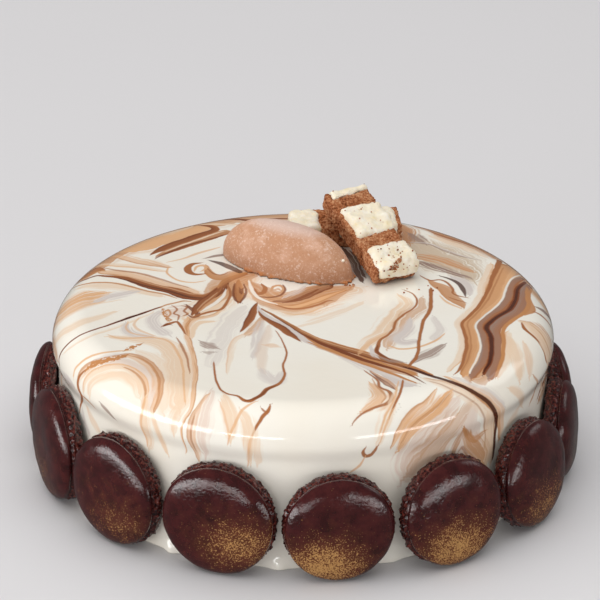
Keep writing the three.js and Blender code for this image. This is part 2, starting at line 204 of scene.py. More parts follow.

# Marbling, in the order in which it is laid, with a few streaks of painted shade among it. A streak has a
# tone and a form, its strength, and the places it runs through: across and down in the photograph, in its 600
# by 600 pixels, and half its width on the cake in mm. A line is even, a wash is soft on both sides and a fill
# is between the two. Left and right are crisp on that side of the run and thin out to the other, a band is
# paler in its middle, a brush is broken into specks, and "tone to tone" goes from the left of the run to its
# right.
MARBLING = {
    # Soft grounds
    "back rim": ("tan wash", 1, (
        (84, 278, 2), (98, 267, 3), (118, 254, 3.5), (140, 243, 3.5), (173, 232, 4), (205, 224, 4),
        (235, 219, 4), (270, 217, 3.5), (300, 216, 3))),
    "back left ground": ("apricot wash", 1, (
        (118, 252, 2), (135, 248, 4), (154, 242, 5), (173, 236, 5), (192, 230.5, 4.5), (204, 227.5, 3))),
    "back right rim": ("caramel wash", 0.95, (
        (418, 225, 1), (432, 230.5, 2), (447, 236, 2.8), (465, 242.5, 3), (482, 250, 2.6),
        (495, 258, 1.4))),
    "strata ground": ("stone wash", 1, (
        (414, 238, 2), (421, 247, 6), (434, 255, 8), (450, 261, 8), (464, 268, 6), (471, 278, 3))),
    "behind the bars": ("caramel wash", 0.9, ((400, 226, 2), (406, 231, 3), (409, 241, 2))),
    "left wash one": ("apricot wash", 1, (
        (55.5, 319, 1.5), (64, 307.5, 3.6), (75.5, 300, 4), (89, 296, 3.4), (104, 293.5, 1.5))),
    "left wash two": ("apricot wash", 0.8, (
        (54, 327, 1.5), (63, 316, 2.6), (74, 309, 2.6), (89, 304, 2), (102, 300.5, 1))),
    "left low wash": ("peach wash", 0.8, (
        (54, 345, 1.2), (62, 333, 2), (76, 325, 2), (95, 318, 1.4), (115, 312, 0.6))),
    "left rim": ("tan wash", 0.8, ((53, 318, 1), (52, 330, 1.6), (54, 345, 1.6), (57, 358, 1))),
    "veil": ("peach wash", 0.95, (
        (112, 337, 1), (135, 339, 2), (155, 341, 2.6), (168, 348, 3), (175, 360, 3.2), (178, 378, 3),
        (178, 400, 2.4))),
    "outer arch ground": ("peach wash", 0.6, (
        (140, 352, 1.2), (153, 357.5, 2.2), (162, 366, 2.6), (166, 378, 2.6), (166, 392, 2.4),
        (164, 407, 1.8))),
    "arch ground": ("blush wash", 1, (
        (105, 366, 1), (123, 362, 2), (138, 368, 2.6), (147.5, 378, 2.6), (151, 390, 2.4),
        (149, 403, 1.8))),
    "knot ground": ("blush wash", 1, ((163, 313, 1.5), (175, 312, 4), (187, 310, 3))),
    "flame haze": ("peach wash", 1, (
        (190, 318, 2), (206, 308, 4), (220, 299, 5), (234, 288, 6), (246, 280, 4))),
    "flame ground": ("caramel fill", 0.85, (
        (196, 312, 1.5), (207, 303, 3.6), (218, 294, 5.5), (229, 284, 7), (240, 276.5, 6.5),
        (249, 274, 4))),
    "fan haze": ("peach wash", 1, (
        (262, 296, 3), (285, 303, 6), (305, 304, 7), (326, 296, 6), (352, 290, 3))),
    "fan ground": ("caramel fill", 0.85, (
        (250, 284, 2), (262, 292, 4.5), (276, 299, 7.5), (292, 301, 9.5), (308, 299, 9.5), (325, 293, 7.5),
        (345, 288, 3))),
    "swoosh ground": ("caramel fill", 1, (
        (300, 334, 1.5), (312.5, 340, 2.4), (325, 345.5, 3), (337.5, 350, 3.4), (350, 354.5, 3.8),
        (362.5, 358.5, 4), (375, 362.5, 4), (387.5, 366.5, 3.8), (400, 370, 3), (412, 374, 2))),
    "zigzag ground": ("tan fill", 1, (
        (516, 275, 6), (511, 285, 6.5), (507, 296, 6.8), (499, 307, 6.8), (488, 317, 6.5), (482, 327, 6.2),
        (484, 337, 6.2), (485.5, 347, 6.2), (484, 357, 6), (480, 367, 6), (475.5, 374, 5))),
    "grey flow": ("lilac wash", 0.5, (
        (244, 307.5, 1.2), (233, 317.5, 3), (225.5, 327.5, 3.6), (221, 339, 3.4), (215.5, 352.5, 3),
        (213, 364, 1.6))),
    "curve blush": ("peach wash", 1, (
        (399, 296, 0.8), (406, 303, 2), (401, 311, 2.4), (391, 320, 2.8), (385, 329, 2.8), (376, 338, 2.4),
        (366, 345, 2), (360, 351, 1))),
    "curve shade": ("tan wash", 0.75, (
        (422, 299, 1), (420, 308, 2), (409, 315.5, 2.4), (402, 323, 2.4), (399, 331, 2.4),
        (391, 337.5, 2.2), (388, 346, 1.6))),
    "front right ground": ("blush wash", 1, (
        (456, 400, 1.5), (444, 413, 3.6), (431, 424, 4.6), (419, 436, 5), (410, 452, 4.6), (405, 467, 3))),
    "front right tan": ("tan wash", 0.6, (
        (470, 406, 1.2), (460, 420, 3), (449, 431, 4), (436, 444, 4.4), (424, 457, 4), (412, 470, 2.4))),
    "right wall ground": ("blush fill", 1, (
        (474, 412, 2), (470, 424, 5), (468, 436, 6.5), (466, 448, 7.5), (464, 458, 7.5))),
    "right wall tan": ("peach wash", 0.9, ((488, 416, 1), (488, 430, 1.6), (487, 442, 2), (486, 456, 2))),
    "right ground": ("peach wash", 0.9, (
        (507, 338, 1), (513, 349, 2.6), (517.5, 361, 2.8), (519.5, 374, 1.6))),
    "right ground two": ("apricot wash", 0.5, ((525, 345, 0.8), (529, 358, 1.8), (530, 372, 1.2))),
    "right fan": ("tan wash", 0.95, (
        (526, 322.5, 1), (537, 329, 3.4), (546, 341, 4), (550, 356, 3.2), (550.5, 372, 1.6))),
    "right fan ground": ("peach fill", 0.9, (
        (522, 322, 1), (531, 327, 3), (540, 335, 4.6), (547, 346, 5), (550, 358, 4), (551, 372, 2))),
    "right rim ground": ("apricot fill", 0.8, (
        (524, 283, 1.5), (533, 291, 2.8), (541, 301, 3.4), (548, 313, 3))),
    # Painted shadow: a dark cocoa streak on the glaze in the gap between the quenelle and the front bar,
    # where shade falls
    "painted shadow in the gap": ("cocoa wash", 0.9, (
        (344, 249, 0.8), (351, 258, 1.8), (356, 267, 2), (360, 275, 1.6), (362.5, 281, 0.6))),
    "below the bag": ("peach wash", 0.9, (
        (224, 396, 0.8), (229, 408, 2), (232, 420, 2.2), (230, 434, 1.4))),
    "tick shade": ("peach wash", 0.9, (
        (243, 413, 0.8), (248, 421, 1.8), (249.5, 432, 2), (250, 446, 1.4), (250, 460, 0.8))),
    "right of the fall": ("blush wash", 1, (
        (210, 392, 1), (206, 405, 2), (203, 420, 2.6), (201, 435, 2.6), (204, 450, 1.6))),
    "fall veil": ("peach wash", 0.9, (
        (181, 345, 0.8), (185, 358, 1.5), (188, 372, 1.8), (187, 388, 1.8), (183, 402, 1.6),
        (176, 415, 1.4), (174, 430, 1))),
    # Back left
    "pale rim": ("peach wash", 0.8, ((130, 245, 0.8), (150, 238, 1.5), (170, 232.5, 1.5), (190, 227, 0.8))),
    "tongue foot": ("tan to toffee", 1, (
        (157, 256, 0.4), (173, 249, 2), (192, 242.5, 2.4), (210, 236.5, 2.4), (226, 232, 2))),
    "tongue pale line": ("peach line", 0.9, (
        (165, 251.5, 0.3), (185, 244, 0.7), (205, 237, 0.7), (222, 231.5, 0.4))),
    "tongue": ("brown to toffee", 1, (
        (152, 254, 0.5), (160.5, 249.5, 1.5), (173, 244.5, 1.8), (185.5, 240, 1.8), (198, 235.5, 1.7),
        (209, 232.5, 1.6), (215.5, 229.5, 1.4), (212, 226.5, 1.1), (200.5, 225.5, 0.5))),
    "tongue foot line": ("brown line", 0.9, (
        (156.5, 258, 0.4), (168, 252.5, 0.8), (185.5, 246, 0.8), (204, 240.5, 0.7), (223, 235.5, 0.4))),
    "back rim line": ("brown line", 0.9, (
        (203, 222, 0.3), (226, 219.5, 1.2), (250, 220.5, 1.2), (275, 219, 0.8), (300, 218.5, 0.5))),
    "back rim pale line": ("peach line", 0.8, ((198, 225, 0.4), (215, 224, 1), (236, 224.5, 0.8))),
    "rim edge line": ("caramel line", 0.8, (
        (98, 265, 0.5), (118, 252, 0.7), (140, 242, 0.8), (170, 231.5, 0.7), (200, 223.5, 0.6))),
    "upper wisp": ("apricot line", 0.7, (
        (168, 262, 0.3), (185.5, 258, 0.7), (195.5, 254, 1), (208, 250.5, 0.9), (219, 247.5, 0.4))),
    "upper lines one": ("caramel right", 0.85, (
        (113, 256.5, 1.4), (135.5, 259.5, 2.2), (154, 263, 2.2), (168, 266.5, 1))),
    "upper lines two": ("apricot right", 0.8, (
        (99, 265.5, 1), (118, 265, 1.4), (135.5, 266, 1.4), (154, 269, 1.2), (165.5, 271, 0.6))),
    "curl outline": ("apricot line", 0.9, (
        (168, 268, 0.4), (167, 272.5, 0.5), (172, 277, 0.5), (179, 280.5, 0.6), (192, 282.5, 0.5),
        (204, 281, 0.3))),
    "rim wedge": ("toffee to caramel", 1, (
        (75.5, 284, 1.1), (85, 276.5, 2.4), (94.5, 270.5, 3), (101.5, 270, 1.2))),
    "rim wedge line": ("brown line", 0.9, (
        (74, 286, 0.4), (85.5, 279.5, 0.7), (95.5, 276, 0.7), (104, 275.5, 0.5))),
    # Dark band
    "band shade": ("caramel right", 0.95, (
        (104, 272, 1.5), (123, 273, 2.4), (142, 277.5, 3), (160.5, 283, 3), (179, 287.5, 2.8),
        (195.5, 292.5, 2))),
    "band upper line": ("toffee line", 0.7, (
        (101, 268, 0.3), (118, 270.5, 0.8), (138, 273, 0.8), (157, 278, 0.8), (173, 283, 0.6),
        (188, 287.5, 0.3))),
    "dark band": ("toffee to brown", 1, (
        (102, 276, 0.6), (117, 277, 1), (129, 279.5, 1.6), (145.5, 284.5, 2.2), (160.5, 288.5, 2.4),
        (173, 291, 2.6), (185.5, 295, 2.8), (198, 297.5, 2.4), (207, 296, 2), (215.5, 292, 1.6),
        (222, 285, 0.6))),
    "band pale line": ("tan line", 0.8, (
        (130, 277.5, 0.3), (150, 283.5, 0.5), (170, 288.5, 0.5), (190, 293.5, 0.5), (205, 294, 0.3))),
    "band core": ("cocoa line", 0.6, (
        (120, 278.5, 0.3), (145, 285.5, 0.7), (170, 291.5, 0.9), (190, 297, 0.9), (203, 298, 0.4))),
    "below the band": ("peach wash", 0.8, (
        (80, 288, 1), (100, 286, 2), (120, 287, 2), (140, 292, 1.5), (160, 296, 0.8))),
    "line below the band": ("caramel line", 0.9, (
        (72, 289, 0.4), (83, 284.5, 0.7), (98, 282.5, 0.7), (113, 283, 0.7), (128, 286, 0.8),
        (143, 290, 0.7), (154, 292.5, 0.7), (167, 295, 0.7), (176, 298, 0.3))),
    # Left side
    "left grey": ("lilac wash", 1, (
        (96, 301.5, 0.8), (110.5, 297, 1.8), (123, 294, 1.8), (138, 291.5, 0.8))),
    "left feather": ("peach left", 0.9, (
        (53, 337, 1), (58, 327, 1.8), (68, 318.5, 2), (80.5, 312, 2), (98, 306, 1.6), (120, 301, 0.8))),
    "long line shade": ("peach left", 0.8, (
        (150, 312, 1), (128, 319.5, 2), (104, 328, 2.2), (80, 338, 2), (65, 350, 1.2))),
    "long line": ("brown line", 1, (
        (161, 307, 0.6), (152, 310, 0.6), (140.5, 314, 0.8), (128, 318, 0.9), (115.5, 322.5, 0.7),
        (104, 326.5, 0.55), (89, 331.5, 0.5), (78, 336.5, 0.5), (68, 344, 0.5), (62, 351, 0.55),
        (59, 360, 0.55), (60, 367, 0.3))),
    "long line core": ("cocoa line", 0.9, (
        (147, 312, 0.2), (136, 315.5, 0.6), (126, 319, 0.7), (114, 323, 0.2))),
    # Arches
    "swirl grey": ("lilac wash", 0.9, ((160, 312, 0.8), (153, 318, 1.8), (155, 326, 2), (165, 333, 1.6))),
    "nested swirl": ("lilac wash", 0.9, (
        (126, 324, 0.8), (126, 329, 1.6), (134, 334, 1.8), (150, 337, 1.2))),
    "veil line": ("apricot line", 0.75, (
        (109, 335, 0.3), (118, 338, 0.5), (135.5, 338, 0.6), (154, 337.5, 0.7), (168, 341, 0.7),
        (177, 351, 0.6), (182, 365, 0.6), (184, 381, 0.5), (185, 402, 0.4))),
    "swirl line": ("apricot line", 0.65, (
        (128, 322, 0.3), (126, 328, 0.6), (133, 333.5, 0.6), (152, 336.5, 0.4))),
    "inner swirl": ("apricot line", 0.6, (
        (139, 318, 0.3), (134, 324, 0.7), (139, 330, 0.8), (154, 335.5, 0.5))),
    "outer arch line": ("apricot line", 0.85, (
        (73.5, 376, 0.4), (75, 369, 0.6), (83, 361, 0.7), (93, 355.5, 0.7), (108, 352, 0.7),
        (120, 351, 0.6), (130, 350.5, 0.3))),
    "main arch": ("caramel left", 0.8, (
        (78, 384, 0.8), (80, 376, 1.4), (85.5, 370, 1.8), (95, 364, 1.8), (108, 359.5, 1.6),
        (120, 357, 1.5), (128, 356, 1.6), (138, 358.5, 1.8), (147, 364, 2), (153.5, 372, 2),
        (156.5, 381.5, 2), (157, 392.5, 1.8), (155.5, 402.5, 1.5), (152.5, 410, 1))),
    "main arch line": ("caramel line", 0.75, (
        (128, 355.5, 0.3), (138, 357.5, 0.6), (148, 362.5, 0.7), (155, 370.5, 0.75), (158.8, 381, 0.7),
        (159.2, 392.5, 0.6), (157.2, 402.5, 0.5), (153.8, 410, 0.4))),
    "inner arch": ("apricot left", 0.95, (
        (84, 391, 0.6), (85.5, 381, 1), (92, 374, 1.2), (102, 369.5, 1.3), (113, 367.5, 1.3),
        (122, 367.5, 1.3), (131, 371, 1.4), (138.5, 378, 1.5), (143, 387, 1.5), (144.5, 395, 1.2),
        (143, 403, 0.8))),
    "inner arch line": ("caramel line", 0.8, (
        (125, 367.5, 0.3), (133, 371.5, 0.5), (140, 378, 0.6), (144.5, 387, 0.65), (145.7, 395, 0.55),
        (143.8, 403, 0.4))),
    "inmost arch": ("peach wash", 0.9, (
        (89, 393, 0.8), (90.5, 384, 1.2), (100.5, 377.5, 1.4), (113, 374.5, 1.4), (125.5, 376, 1.4),
        (135, 384, 1.4), (139, 394, 1))),
    "arch foot": ("toffee line", 0.95, (
        (85.5, 370, 0.4), (80, 376, 0.8), (78, 383, 1), (79, 390, 1.1), (82, 396.5, 0.9), (81, 404, 0.7),
        (79.5, 412, 0.4))),
    "arch foot line": ("caramel line", 0.8, ((81.5, 395, 0.4), (89, 401.5, 0.5), (95, 408, 0.3))),
    "brush shade": ("lilac wash", 0.6, ((95, 361, 1), (105, 357.5, 1.6), (118, 355, 1))),
    "brush on the arch": ("caramel brush", 1, (
        (87, 369, 0.6), (92, 364.5, 1.6), (102, 361, 2), (113, 359, 2), (123, 356.5, 1.6),
        (127.5, 355, 0.5))),
    "mark over the arch": ("caramel brush", 1, (
        (126, 350, 0.5), (130.5, 348.3, 1.4), (135.5, 346, 1.1), (141, 344, 0.4))),
    # Left wall
    "left shoulder grey": ("lilac wash", 0.9, ((64, 374, 0.6), (69, 381.5, 1.2), (74, 387, 0.6))),
    "left wall peach": ("peach wash", 0.8, ((87.5, 407.5, 0.6), (92, 420, 1.2), (99, 431, 0.8))),
    "left wall grey": ("lilac wash", 0.8, ((82.5, 411, 0.6), (85, 422.5, 1.2), (89, 433, 0.8))),
    "left wall grey line": ("ash wash", 0.8, ((101, 404, 0.4), (107.5, 411, 0.8), (114, 418, 0.4))),
    "arch run one": ("peach wash", 1, ((152.5, 414, 0.6), (157, 430, 1), (162, 441, 1), (167, 452, 0.5))),
    "arch run two shade": ("peach wash", 0.9, (
        (146, 400, 1), (145.5, 414, 1.6), (146, 428, 1.6), (150, 445, 1))),
    "arch run two": ("apricot line", 0.75, (
        (145, 398, 0.4), (144, 404, 0.7), (142, 414, 0.7), (141, 424, 0.7), (145, 435, 0.6),
        (147.5, 446, 0.3))),
    # Fall of caramel from the knot
    "fall": ("caramel left", 1, (
        (187, 319, 1), (185, 327.5, 1.1), (187, 337.5, 1), (190.5, 350, 0.9), (193, 360, 0.9),
        (195, 371, 0.9), (194, 384, 0.8), (193, 396, 0.7), (190, 409, 0.6), (184.5, 418, 0.55),
        (181, 427, 0.5), (182, 438, 0.45), (186, 451, 0.3))),
    "fall hook": ("caramel right", 0.85, (
        (223, 309, 0.4), (214, 315.5, 0.9), (203, 318, 1.1), (193.5, 320.5, 1.2), (189, 327, 1),
        (188.5, 335, 0.4))),
    "fall outer hook": ("peach wash", 1, (
        (214, 321, 0.5), (200, 322.5, 1), (193.8, 328, 1), (192, 337, 0.6))),
    "flecks": ("toffee line", 0.8, (
        (177, 338, 0.3), (180.5, 344, 0.6), (183.5, 350, 0.6), (187, 359, 0.5), (189, 369, 0.4),
        (190, 373, 0.2))),
    "beside the fall": ("caramel right", 0.75, (
        (207.5, 395, 0.5), (200, 407, 1), (195, 416.5, 1.4), (192.8, 426, 1.6), (192.8, 437.5, 1.6),
        (195.8, 448, 1.4), (199, 458, 0.8))),
    "beside the fall line": ("toffee line", 0.6, (
        (194, 417, 0.3), (191.5, 427, 0.5), (191.5, 438, 0.5), (195, 449, 0.3))),
    "grey smudge": ("ash wash", 0.75, ((202, 342.5, 0.8), (208, 345.5, 2), (214, 347.5, 1))),
    "grey smudge foot": ("ash wash", 0.55, ((205, 352.5, 0.5), (209, 353, 1), (213, 352.5, 0.5))),
    # Knot
    "knot top": ("caramel line", 0.9, (
        (160, 307.5, 0.3), (166, 305, 0.6), (175, 303, 0.6), (183, 301, 0.7), (190, 301.5, 0.4))),
    "knot edge": ("caramel brush", 1, ((163, 308, 0.5), (165, 314, 0.9), (168, 320, 0.5))),
    "knot thread one": ("caramel line", 0.9, (
        (164, 312, 0.3), (168, 309.5, 0.5), (171, 314, 0.5), (168, 317.5, 0.5), (172, 320, 0.5),
        (168, 321.5, 0.3))),
    "knot thread two": ("toffee line", 0.9, (
        (173, 306, 0.3), (177, 309.5, 0.5), (174, 313.5, 0.5), (179, 315.5, 0.5), (178, 320, 0.3))),
    "knot thread three": ("toffee line", 0.9, (
        (182, 306, 0.3), (187, 307, 0.6), (184, 311, 0.6), (188, 314, 0.6), (183, 316, 0.3))),
    "knot mass": ("brown line", 0.9, (
        (186, 305, 0.4), (190, 308, 1), (195, 311, 1.4), (198, 315, 1.4), (193, 317.5, 0.8),
        (188, 315, 0.3))),
    "knot drop": ("toffee line", 1, (
        (163, 326, 0.5), (167, 324, 1.2), (172, 322.5, 0.9), (177, 321.5, 0.6), (181, 326, 0.8),
        (185, 333.5, 0.4))),
    "knot drop core": ("brown line", 0.9, ((163.5, 325.8, 0.5), (167, 324.2, 0.9), (170, 324.5, 0.4))),
    # Curl, and painted shade on the glaze beside the quenelle
    "curl tail": ("tan to caramel", 1, (
        (206.5, 266, 0.6), (209, 273, 1.6), (215.5, 277, 2), (225.5, 277, 2), (235.5, 273.5, 1.5))),
    # Painted shade: dark cocoa and ash streaks on the glaze by the quenelle's left end, where shade falls
    "painted shadow beside the quenelle": ("cocoa line", 0.85, (
        (209, 260.5, 0.4), (220, 263.5, 1.6), (229, 267, 2), (240, 272, 1.4))),
    "grey painted shadow next to the quenelle": ("ash line", 0.9, ((205, 258.5, 0.4), (214, 256.3, 1.2), (224, 255, 1.2))),
    "curl": ("toffee line", 1, (
        (204, 273.8, 0.5), (195.5, 274.4, 1.1), (189, 272, 1.7), (187.3, 268, 1.8), (192, 264.2, 1.3),
        (200.5, 263, 0.5))),
    "curl heart": ("apricot line", 0.9, (
        (194, 270.5, 0.4), (196.5, 266.8, 0.8), (203, 265.3, 0.9), (206.5, 268, 0.8), (202, 271, 0.4))),
    "curl tail line": ("toffee line", 0.8, (
        (208, 269, 0.3), (213, 273.5, 0.5), (221, 275, 0.5), (228, 272.5, 0.3))),
    "curl pale line": ("ivory line", 0.7, ((215, 271.5, 0.2), (221, 272.5, 0.5), (226, 270, 0.3))),
    # Flames and drops under the quenelle
    "flame three": ("toffee to brown", 1, (
        (204, 301.5, 0.4), (214, 295.5, 1.5), (221, 290, 1.8), (224.5, 284, 1.5), (227, 279, 0.6))),
    "flame one": ("brown to toffee", 1, (
        (192, 314.5, 0.5), (197, 308, 1.4), (203, 302, 1.6), (210.5, 296, 1.7), (217, 291, 1.2),
        (221, 287, 0.4))),
    "flame one light": ("tan line", 0.8, (
        (197, 310, 0.2), (204, 303, 0.45), (212, 296.5, 0.4), (217, 293, 0.2))),
    "flame lens": ("ivory line", 0.85, (
        (200, 312, 0.2), (208, 307.5, 1), (216, 302.5, 1.2), (223, 296.5, 0.9), (226, 290, 0.3))),
    "flame two": ("toffee line", 1, (
        (193, 317, 0.6), (202, 314, 0.9), (211, 311.5, 0.9), (220, 309.5, 0.8), (225, 305.5, 0.8),
        (229, 299, 0.7), (230.5, 292, 0.7), (227.5, 285, 0.4))),
    "flame top": ("caramel to toffee", 1, (
        (219, 287, 0.5), (225, 281.5, 1.6), (233, 277.8, 1.6), (244, 274, 1.2))),
    "drop": ("caramel to toffee", 1, (
        (238.5, 281, 0.6), (238.5, 288, 1.6), (239, 295, 2), (239, 301.5, 0.9))),
    "drop left line": ("brown line", 0.9, (
        (234.5, 284, 0.4), (233, 292.5, 0.6), (235.5, 300.5, 0.7), (240, 302.5, 0.5))),
    "drop right line": ("brown line", 0.9, (
        (240, 302.5, 0.4), (244, 297, 0.6), (246, 290.5, 0.6), (244, 284.5, 0.4))),
    "drop core": ("brown line", 0.8, ((239.5, 288, 0.3), (241, 293, 0.8), (243, 288.5, 0.3))),
    "curl two": ("toffee line", 1, (
        (255, 289.5, 0.6), (257.5, 293.5, 1.2), (263, 292.5, 1.4), (265.5, 288, 1.2), (262.5, 284.5, 0.6))),
    "curl three": ("tan line", 1, (
        (271, 291, 0.5), (274, 286.5, 0.8), (280, 285.5, 0.9), (283.5, 289, 0.8), (280.5, 293, 0.8),
        (274, 292.5, 0.5))),
    "curl three heart": ("caramel line", 0.7, ((274.5, 290, 0.3), (278, 289, 0.7), (280.5, 290.5, 0.3))),
    "curl shade": ("brown line", 0.9, (
        (258, 296.3, 0.4), (270, 297.3, 0.7), (280, 295.3, 0.7), (285.5, 289.5, 0.5), (283, 285, 0.3))),
    # Fan
    "fan outer": ("peach wash", 0.8, (
        (280, 311, 0.6), (295, 313.5, 1.4), (310, 311, 1.4), (322, 306.5, 0.6))),
    "fan outer line": ("apricot line", 0.6, (
        (284, 312.5, 0.3), (297, 314.3, 0.6), (311, 311.7, 0.6), (320, 307.7, 0.3))),
    "fan one": ("tan to brown", 1, (
        (274, 301, 0.6), (287, 300, 2.2), (299, 296, 3.4), (311, 291, 3.6), (326, 286.5, 2.2))),
    "fan grey": ("lilac wash", 0.8, ((285, 297, 0.6), (297, 292, 1.2), (304, 287, 0.8))),
    "fan dark line": ("brown line", 0.9, (
        (284, 302.5, 0.4), (296, 299.5, 1), (308, 294.5, 1), (318, 289.5, 0.5))),
    "fan two": ("caramel band", 1, (
        (279, 306, 0.5), (292.5, 307.3, 1.6), (305, 304.7, 1.8), (317.5, 300.5, 1.6), (330, 295.3, 1.2),
        (345, 290, 0.5))),
    "fan line": ("toffee line", 0.95, (
        (277, 305.5, 0.4), (290, 308.5, 0.8), (304, 308.3, 0.8), (318, 305, 0.8), (327, 301, 0.6),
        (333, 300.5, 0.3))),
    "pale stream": ("ivory line", 0.9, (
        (249, 281, 0.4), (251, 288, 0.9), (257, 296, 0.9), (266, 301, 0.8), (277, 304, 0.3))),
    "wake": ("peach wash", 0.6, ((300, 326, 0.8), (318, 320, 1.6), (340, 312, 1.4), (360, 303, 0.8))),
    # Middle and the bag shape
    "middle shade": ("tan wash", 0.8, ((262, 318, 0.8), (256, 326, 2), (248, 334, 1.2))),
    "middle grey": ("lilac wash", 0.8, (
        (262, 322, 0.8), (259, 332, 1.6), (256, 345, 1.4), (253, 357, 0.8))),
    "brush by the middle": ("toffee to brown", 1, (
        (256.5, 304, 0.5), (253, 312, 1.4), (249, 319.5, 1.5), (245, 326, 0.9), (241, 331.5, 0.3))),
    "bag veil": ("tan wash", 0.32, (
        (269, 326, 0.6), (267, 336, 1.4), (262.5, 345, 1.6), (261, 356, 1.6), (261, 367, 1.2),
        (265, 373, 0.6))),
    "bag patch": ("apricot wash", 0.5, ((268, 345, 0.8), (272, 345.3, 1.6), (276, 346, 0.8))),
    "bag left edge": ("apricot right", 0.65, (
        (252.5, 331.5, 0.4), (244, 335.8, 1), (236.5, 340, 1.2), (232.5, 348, 1.2), (230, 359, 1),
        (228, 372.5, 0.5))),
    "bag shade": ("lilac wash", 0.75, ((262, 370, 1), (268, 377, 2.4), (277, 380.5, 2.4), (282, 373, 1))),
    "bag line": ("toffee line", 1, (
        (214, 362.5, 0.35), (215, 372.5, 0.45), (216.5, 381, 0.5), (220, 389, 0.55), (227.5, 394, 0.55),
        (237.5, 395.8, 0.65), (244, 400, 0.9), (250, 401, 1.1), (256, 397.8, 1.1), (262.5, 394, 1.2),
        (267.5, 389, 1.3), (275, 386, 1.1), (281, 382, 0.8), (284.3, 375, 0.6), (283, 365, 0.5),
        (286.3, 355, 0.45), (285, 347.5, 0.4), (281, 339, 0.3), (276, 331, 0.2))),
    "bag line core": ("brown line", 0.8, (
        (246, 400.5, 0.3), (254, 398.8, 0.6), (262, 394.3, 0.7), (268, 389.2, 0.7), (275, 386, 0.4))),
    "below the bag line one": ("apricot line", 0.8, (
        (256, 401.5, 0.3), (247.5, 406, 0.6), (241, 411.5, 0.7), (237.5, 419, 0.7), (234, 426, 0.7),
        (229.5, 435, 0.6), (228, 443, 0.3))),
    "below the bag line two": ("apricot line", 0.6, (
        (220, 402, 0.3), (224, 412.5, 0.6), (226.5, 424, 0.6), (228.5, 433, 0.3))),
    "tick": ("toffee line", 1, (
        (270.3, 405.5, 0.4), (268, 411, 0.9), (263, 416, 0.9), (259, 422.5, 0.7), (255.3, 429, 0.6),
        (252.5, 436, 0.2))),
    "tick tail": ("apricot line", 0.7, (
        (254, 432, 0.3), (251, 441, 0.7), (249, 452, 0.6), (248, 465, 0.3))),
    "tick spur": ("toffee line", 0.9, ((262, 408.5, 0.3), (263.5, 410.5, 0.5), (266, 412.5, 0.4))),
    "right of the tick": ("peach wash", 0.6, ((255, 432, 0.6), (256, 446, 1.4), (258, 460, 1))),
    # Swoosh
    "swoosh run shade": ("tan left", 0.85, (
        (425, 379, 0.8), (440, 384, 1.8), (453, 389, 2.2), (465, 394.5, 2.4), (476, 401.5, 2.6),
        (485, 410, 2.6), (489.5, 420, 2.4), (489.5, 432, 2.2), (489, 445, 2), (489.5, 458, 1.4))),
    "swoosh run lines": ("toffee line", 0.5, (
        (430, 381.5, 0.3), (450, 389, 0.5), (466, 397, 0.5), (478, 406, 0.5), (484, 417, 0.5),
        (485, 432, 0.4), (484.5, 447, 0.3))),
    "swoosh outer grey": ("lilac wash", 0.7, (
        (455, 377.5, 0.5), (475, 386, 1.4), (490, 394, 1.6), (503, 405, 1.2))),
    "swoosh outer": ("caramel right", 0.9, (
        (445, 376.5, 0.4), (461, 383, 1.2), (474, 389.3, 1.6), (486, 397, 1.9), (496.5, 406.5, 2),
        (501, 416, 1.9), (501.5, 426, 1.6), (500, 436, 1))),
    "swoosh foot grey": ("lilac wash", 0.9, (
        (340, 357, 0.5), (362.5, 366.5, 1.4), (381, 373, 1.6), (398, 380, 1.2), (415, 385, 0.6))),
    "swoosh grey": ("lilac line", 1, (
        (258.5, 307, 0.6), (262, 313, 1.4), (270, 318.3, 1.7), (282.5, 325, 1.8), (295, 333, 1.8),
        (306, 341, 1.5), (316, 346, 0.6))),
    "swoosh lens": ("brown to toffee", 1, (
        (259, 312, 0.3), (262.5, 316.5, 0.7), (270, 321.5, 1.1), (280, 327, 1.4), (290, 334, 1.3),
        (300, 341, 0.3))),
    "swoosh top": ("caramel to brown", 1, (
        (262, 309, 0.3), (275, 316, 0.6), (287.5, 323.7, 0.8), (300, 331, 1.1), (312.5, 337.7, 1.4),
        (325, 342.3, 1.6), (337.5, 346, 1.7), (350, 350, 1.8), (362.5, 353.3, 1.8), (375, 357, 1.8),
        (387.5, 360.5, 1.8), (400, 364, 1.6), (417.5, 370.3, 1.3), (430, 375, 1))),
    "swoosh foot line": ("caramel line", 1, (
        (308, 342, 0.3), (325, 348.7, 0.8), (337.5, 353.5, 0.9), (350, 358.7, 0.9), (362.5, 363.5, 0.9),
        (375, 367.7, 0.9), (387.5, 372, 0.9), (396, 375, 0.9), (406, 379.3, 0.8), (416, 383, 0.4))),
    "swoosh core": ("brown line", 1, (
        (303, 334.5, 0.3), (319, 342.3, 1.1), (331, 347.3, 1.3), (344, 352.7, 1.4), (356, 357.3, 1.4),
        (369, 361.7, 1.3), (381, 365.5, 1.1), (392.5, 368.5, 0.8), (405, 373, 0.6), (415, 377.5, 0.5),
        (424, 383, 0.2))),
    "swoosh tan hair": ("tan line", 0.8, (
        (300, 330.5, 0.2), (325, 341.5, 0.4), (350, 349, 0.4), (375, 355.8, 0.4), (400, 363, 0.3))),
    "swoosh run": ("cocoa line", 0.95, (
        (405, 367, 0.5), (417.5, 371, 0.9), (430, 375.6, 1), (442.5, 379.2, 1), (455, 383.3, 1.05),
        (470, 389.8, 1.1), (481, 396.5, 1.1), (490, 404, 1.15), (495, 412.5, 1.15), (496.3, 422.5, 1.1),
        (495, 432.5, 1), (494, 445, 0.9), (493, 457, 0.6))),
    # Front right
    "loop shade": ("apricot wash", 0.8, (
        (372, 384, 0.8), (379, 391, 2.2), (381, 399, 2.6), (374, 404.5, 1.8), (364, 410, 0.8))),
    "loop inner line": ("caramel line", 0.7, (
        (372.5, 379, 0.2), (377, 386, 0.5), (382.5, 391.5, 0.6), (386, 397, 0.5), (382, 402, 0.2))),
    "loop": ("toffee line", 0.95, (
        (365, 371, 0.3), (377.5, 380, 0.6), (380, 387, 0.6), (388.5, 391, 0.8), (392, 397, 1.1),
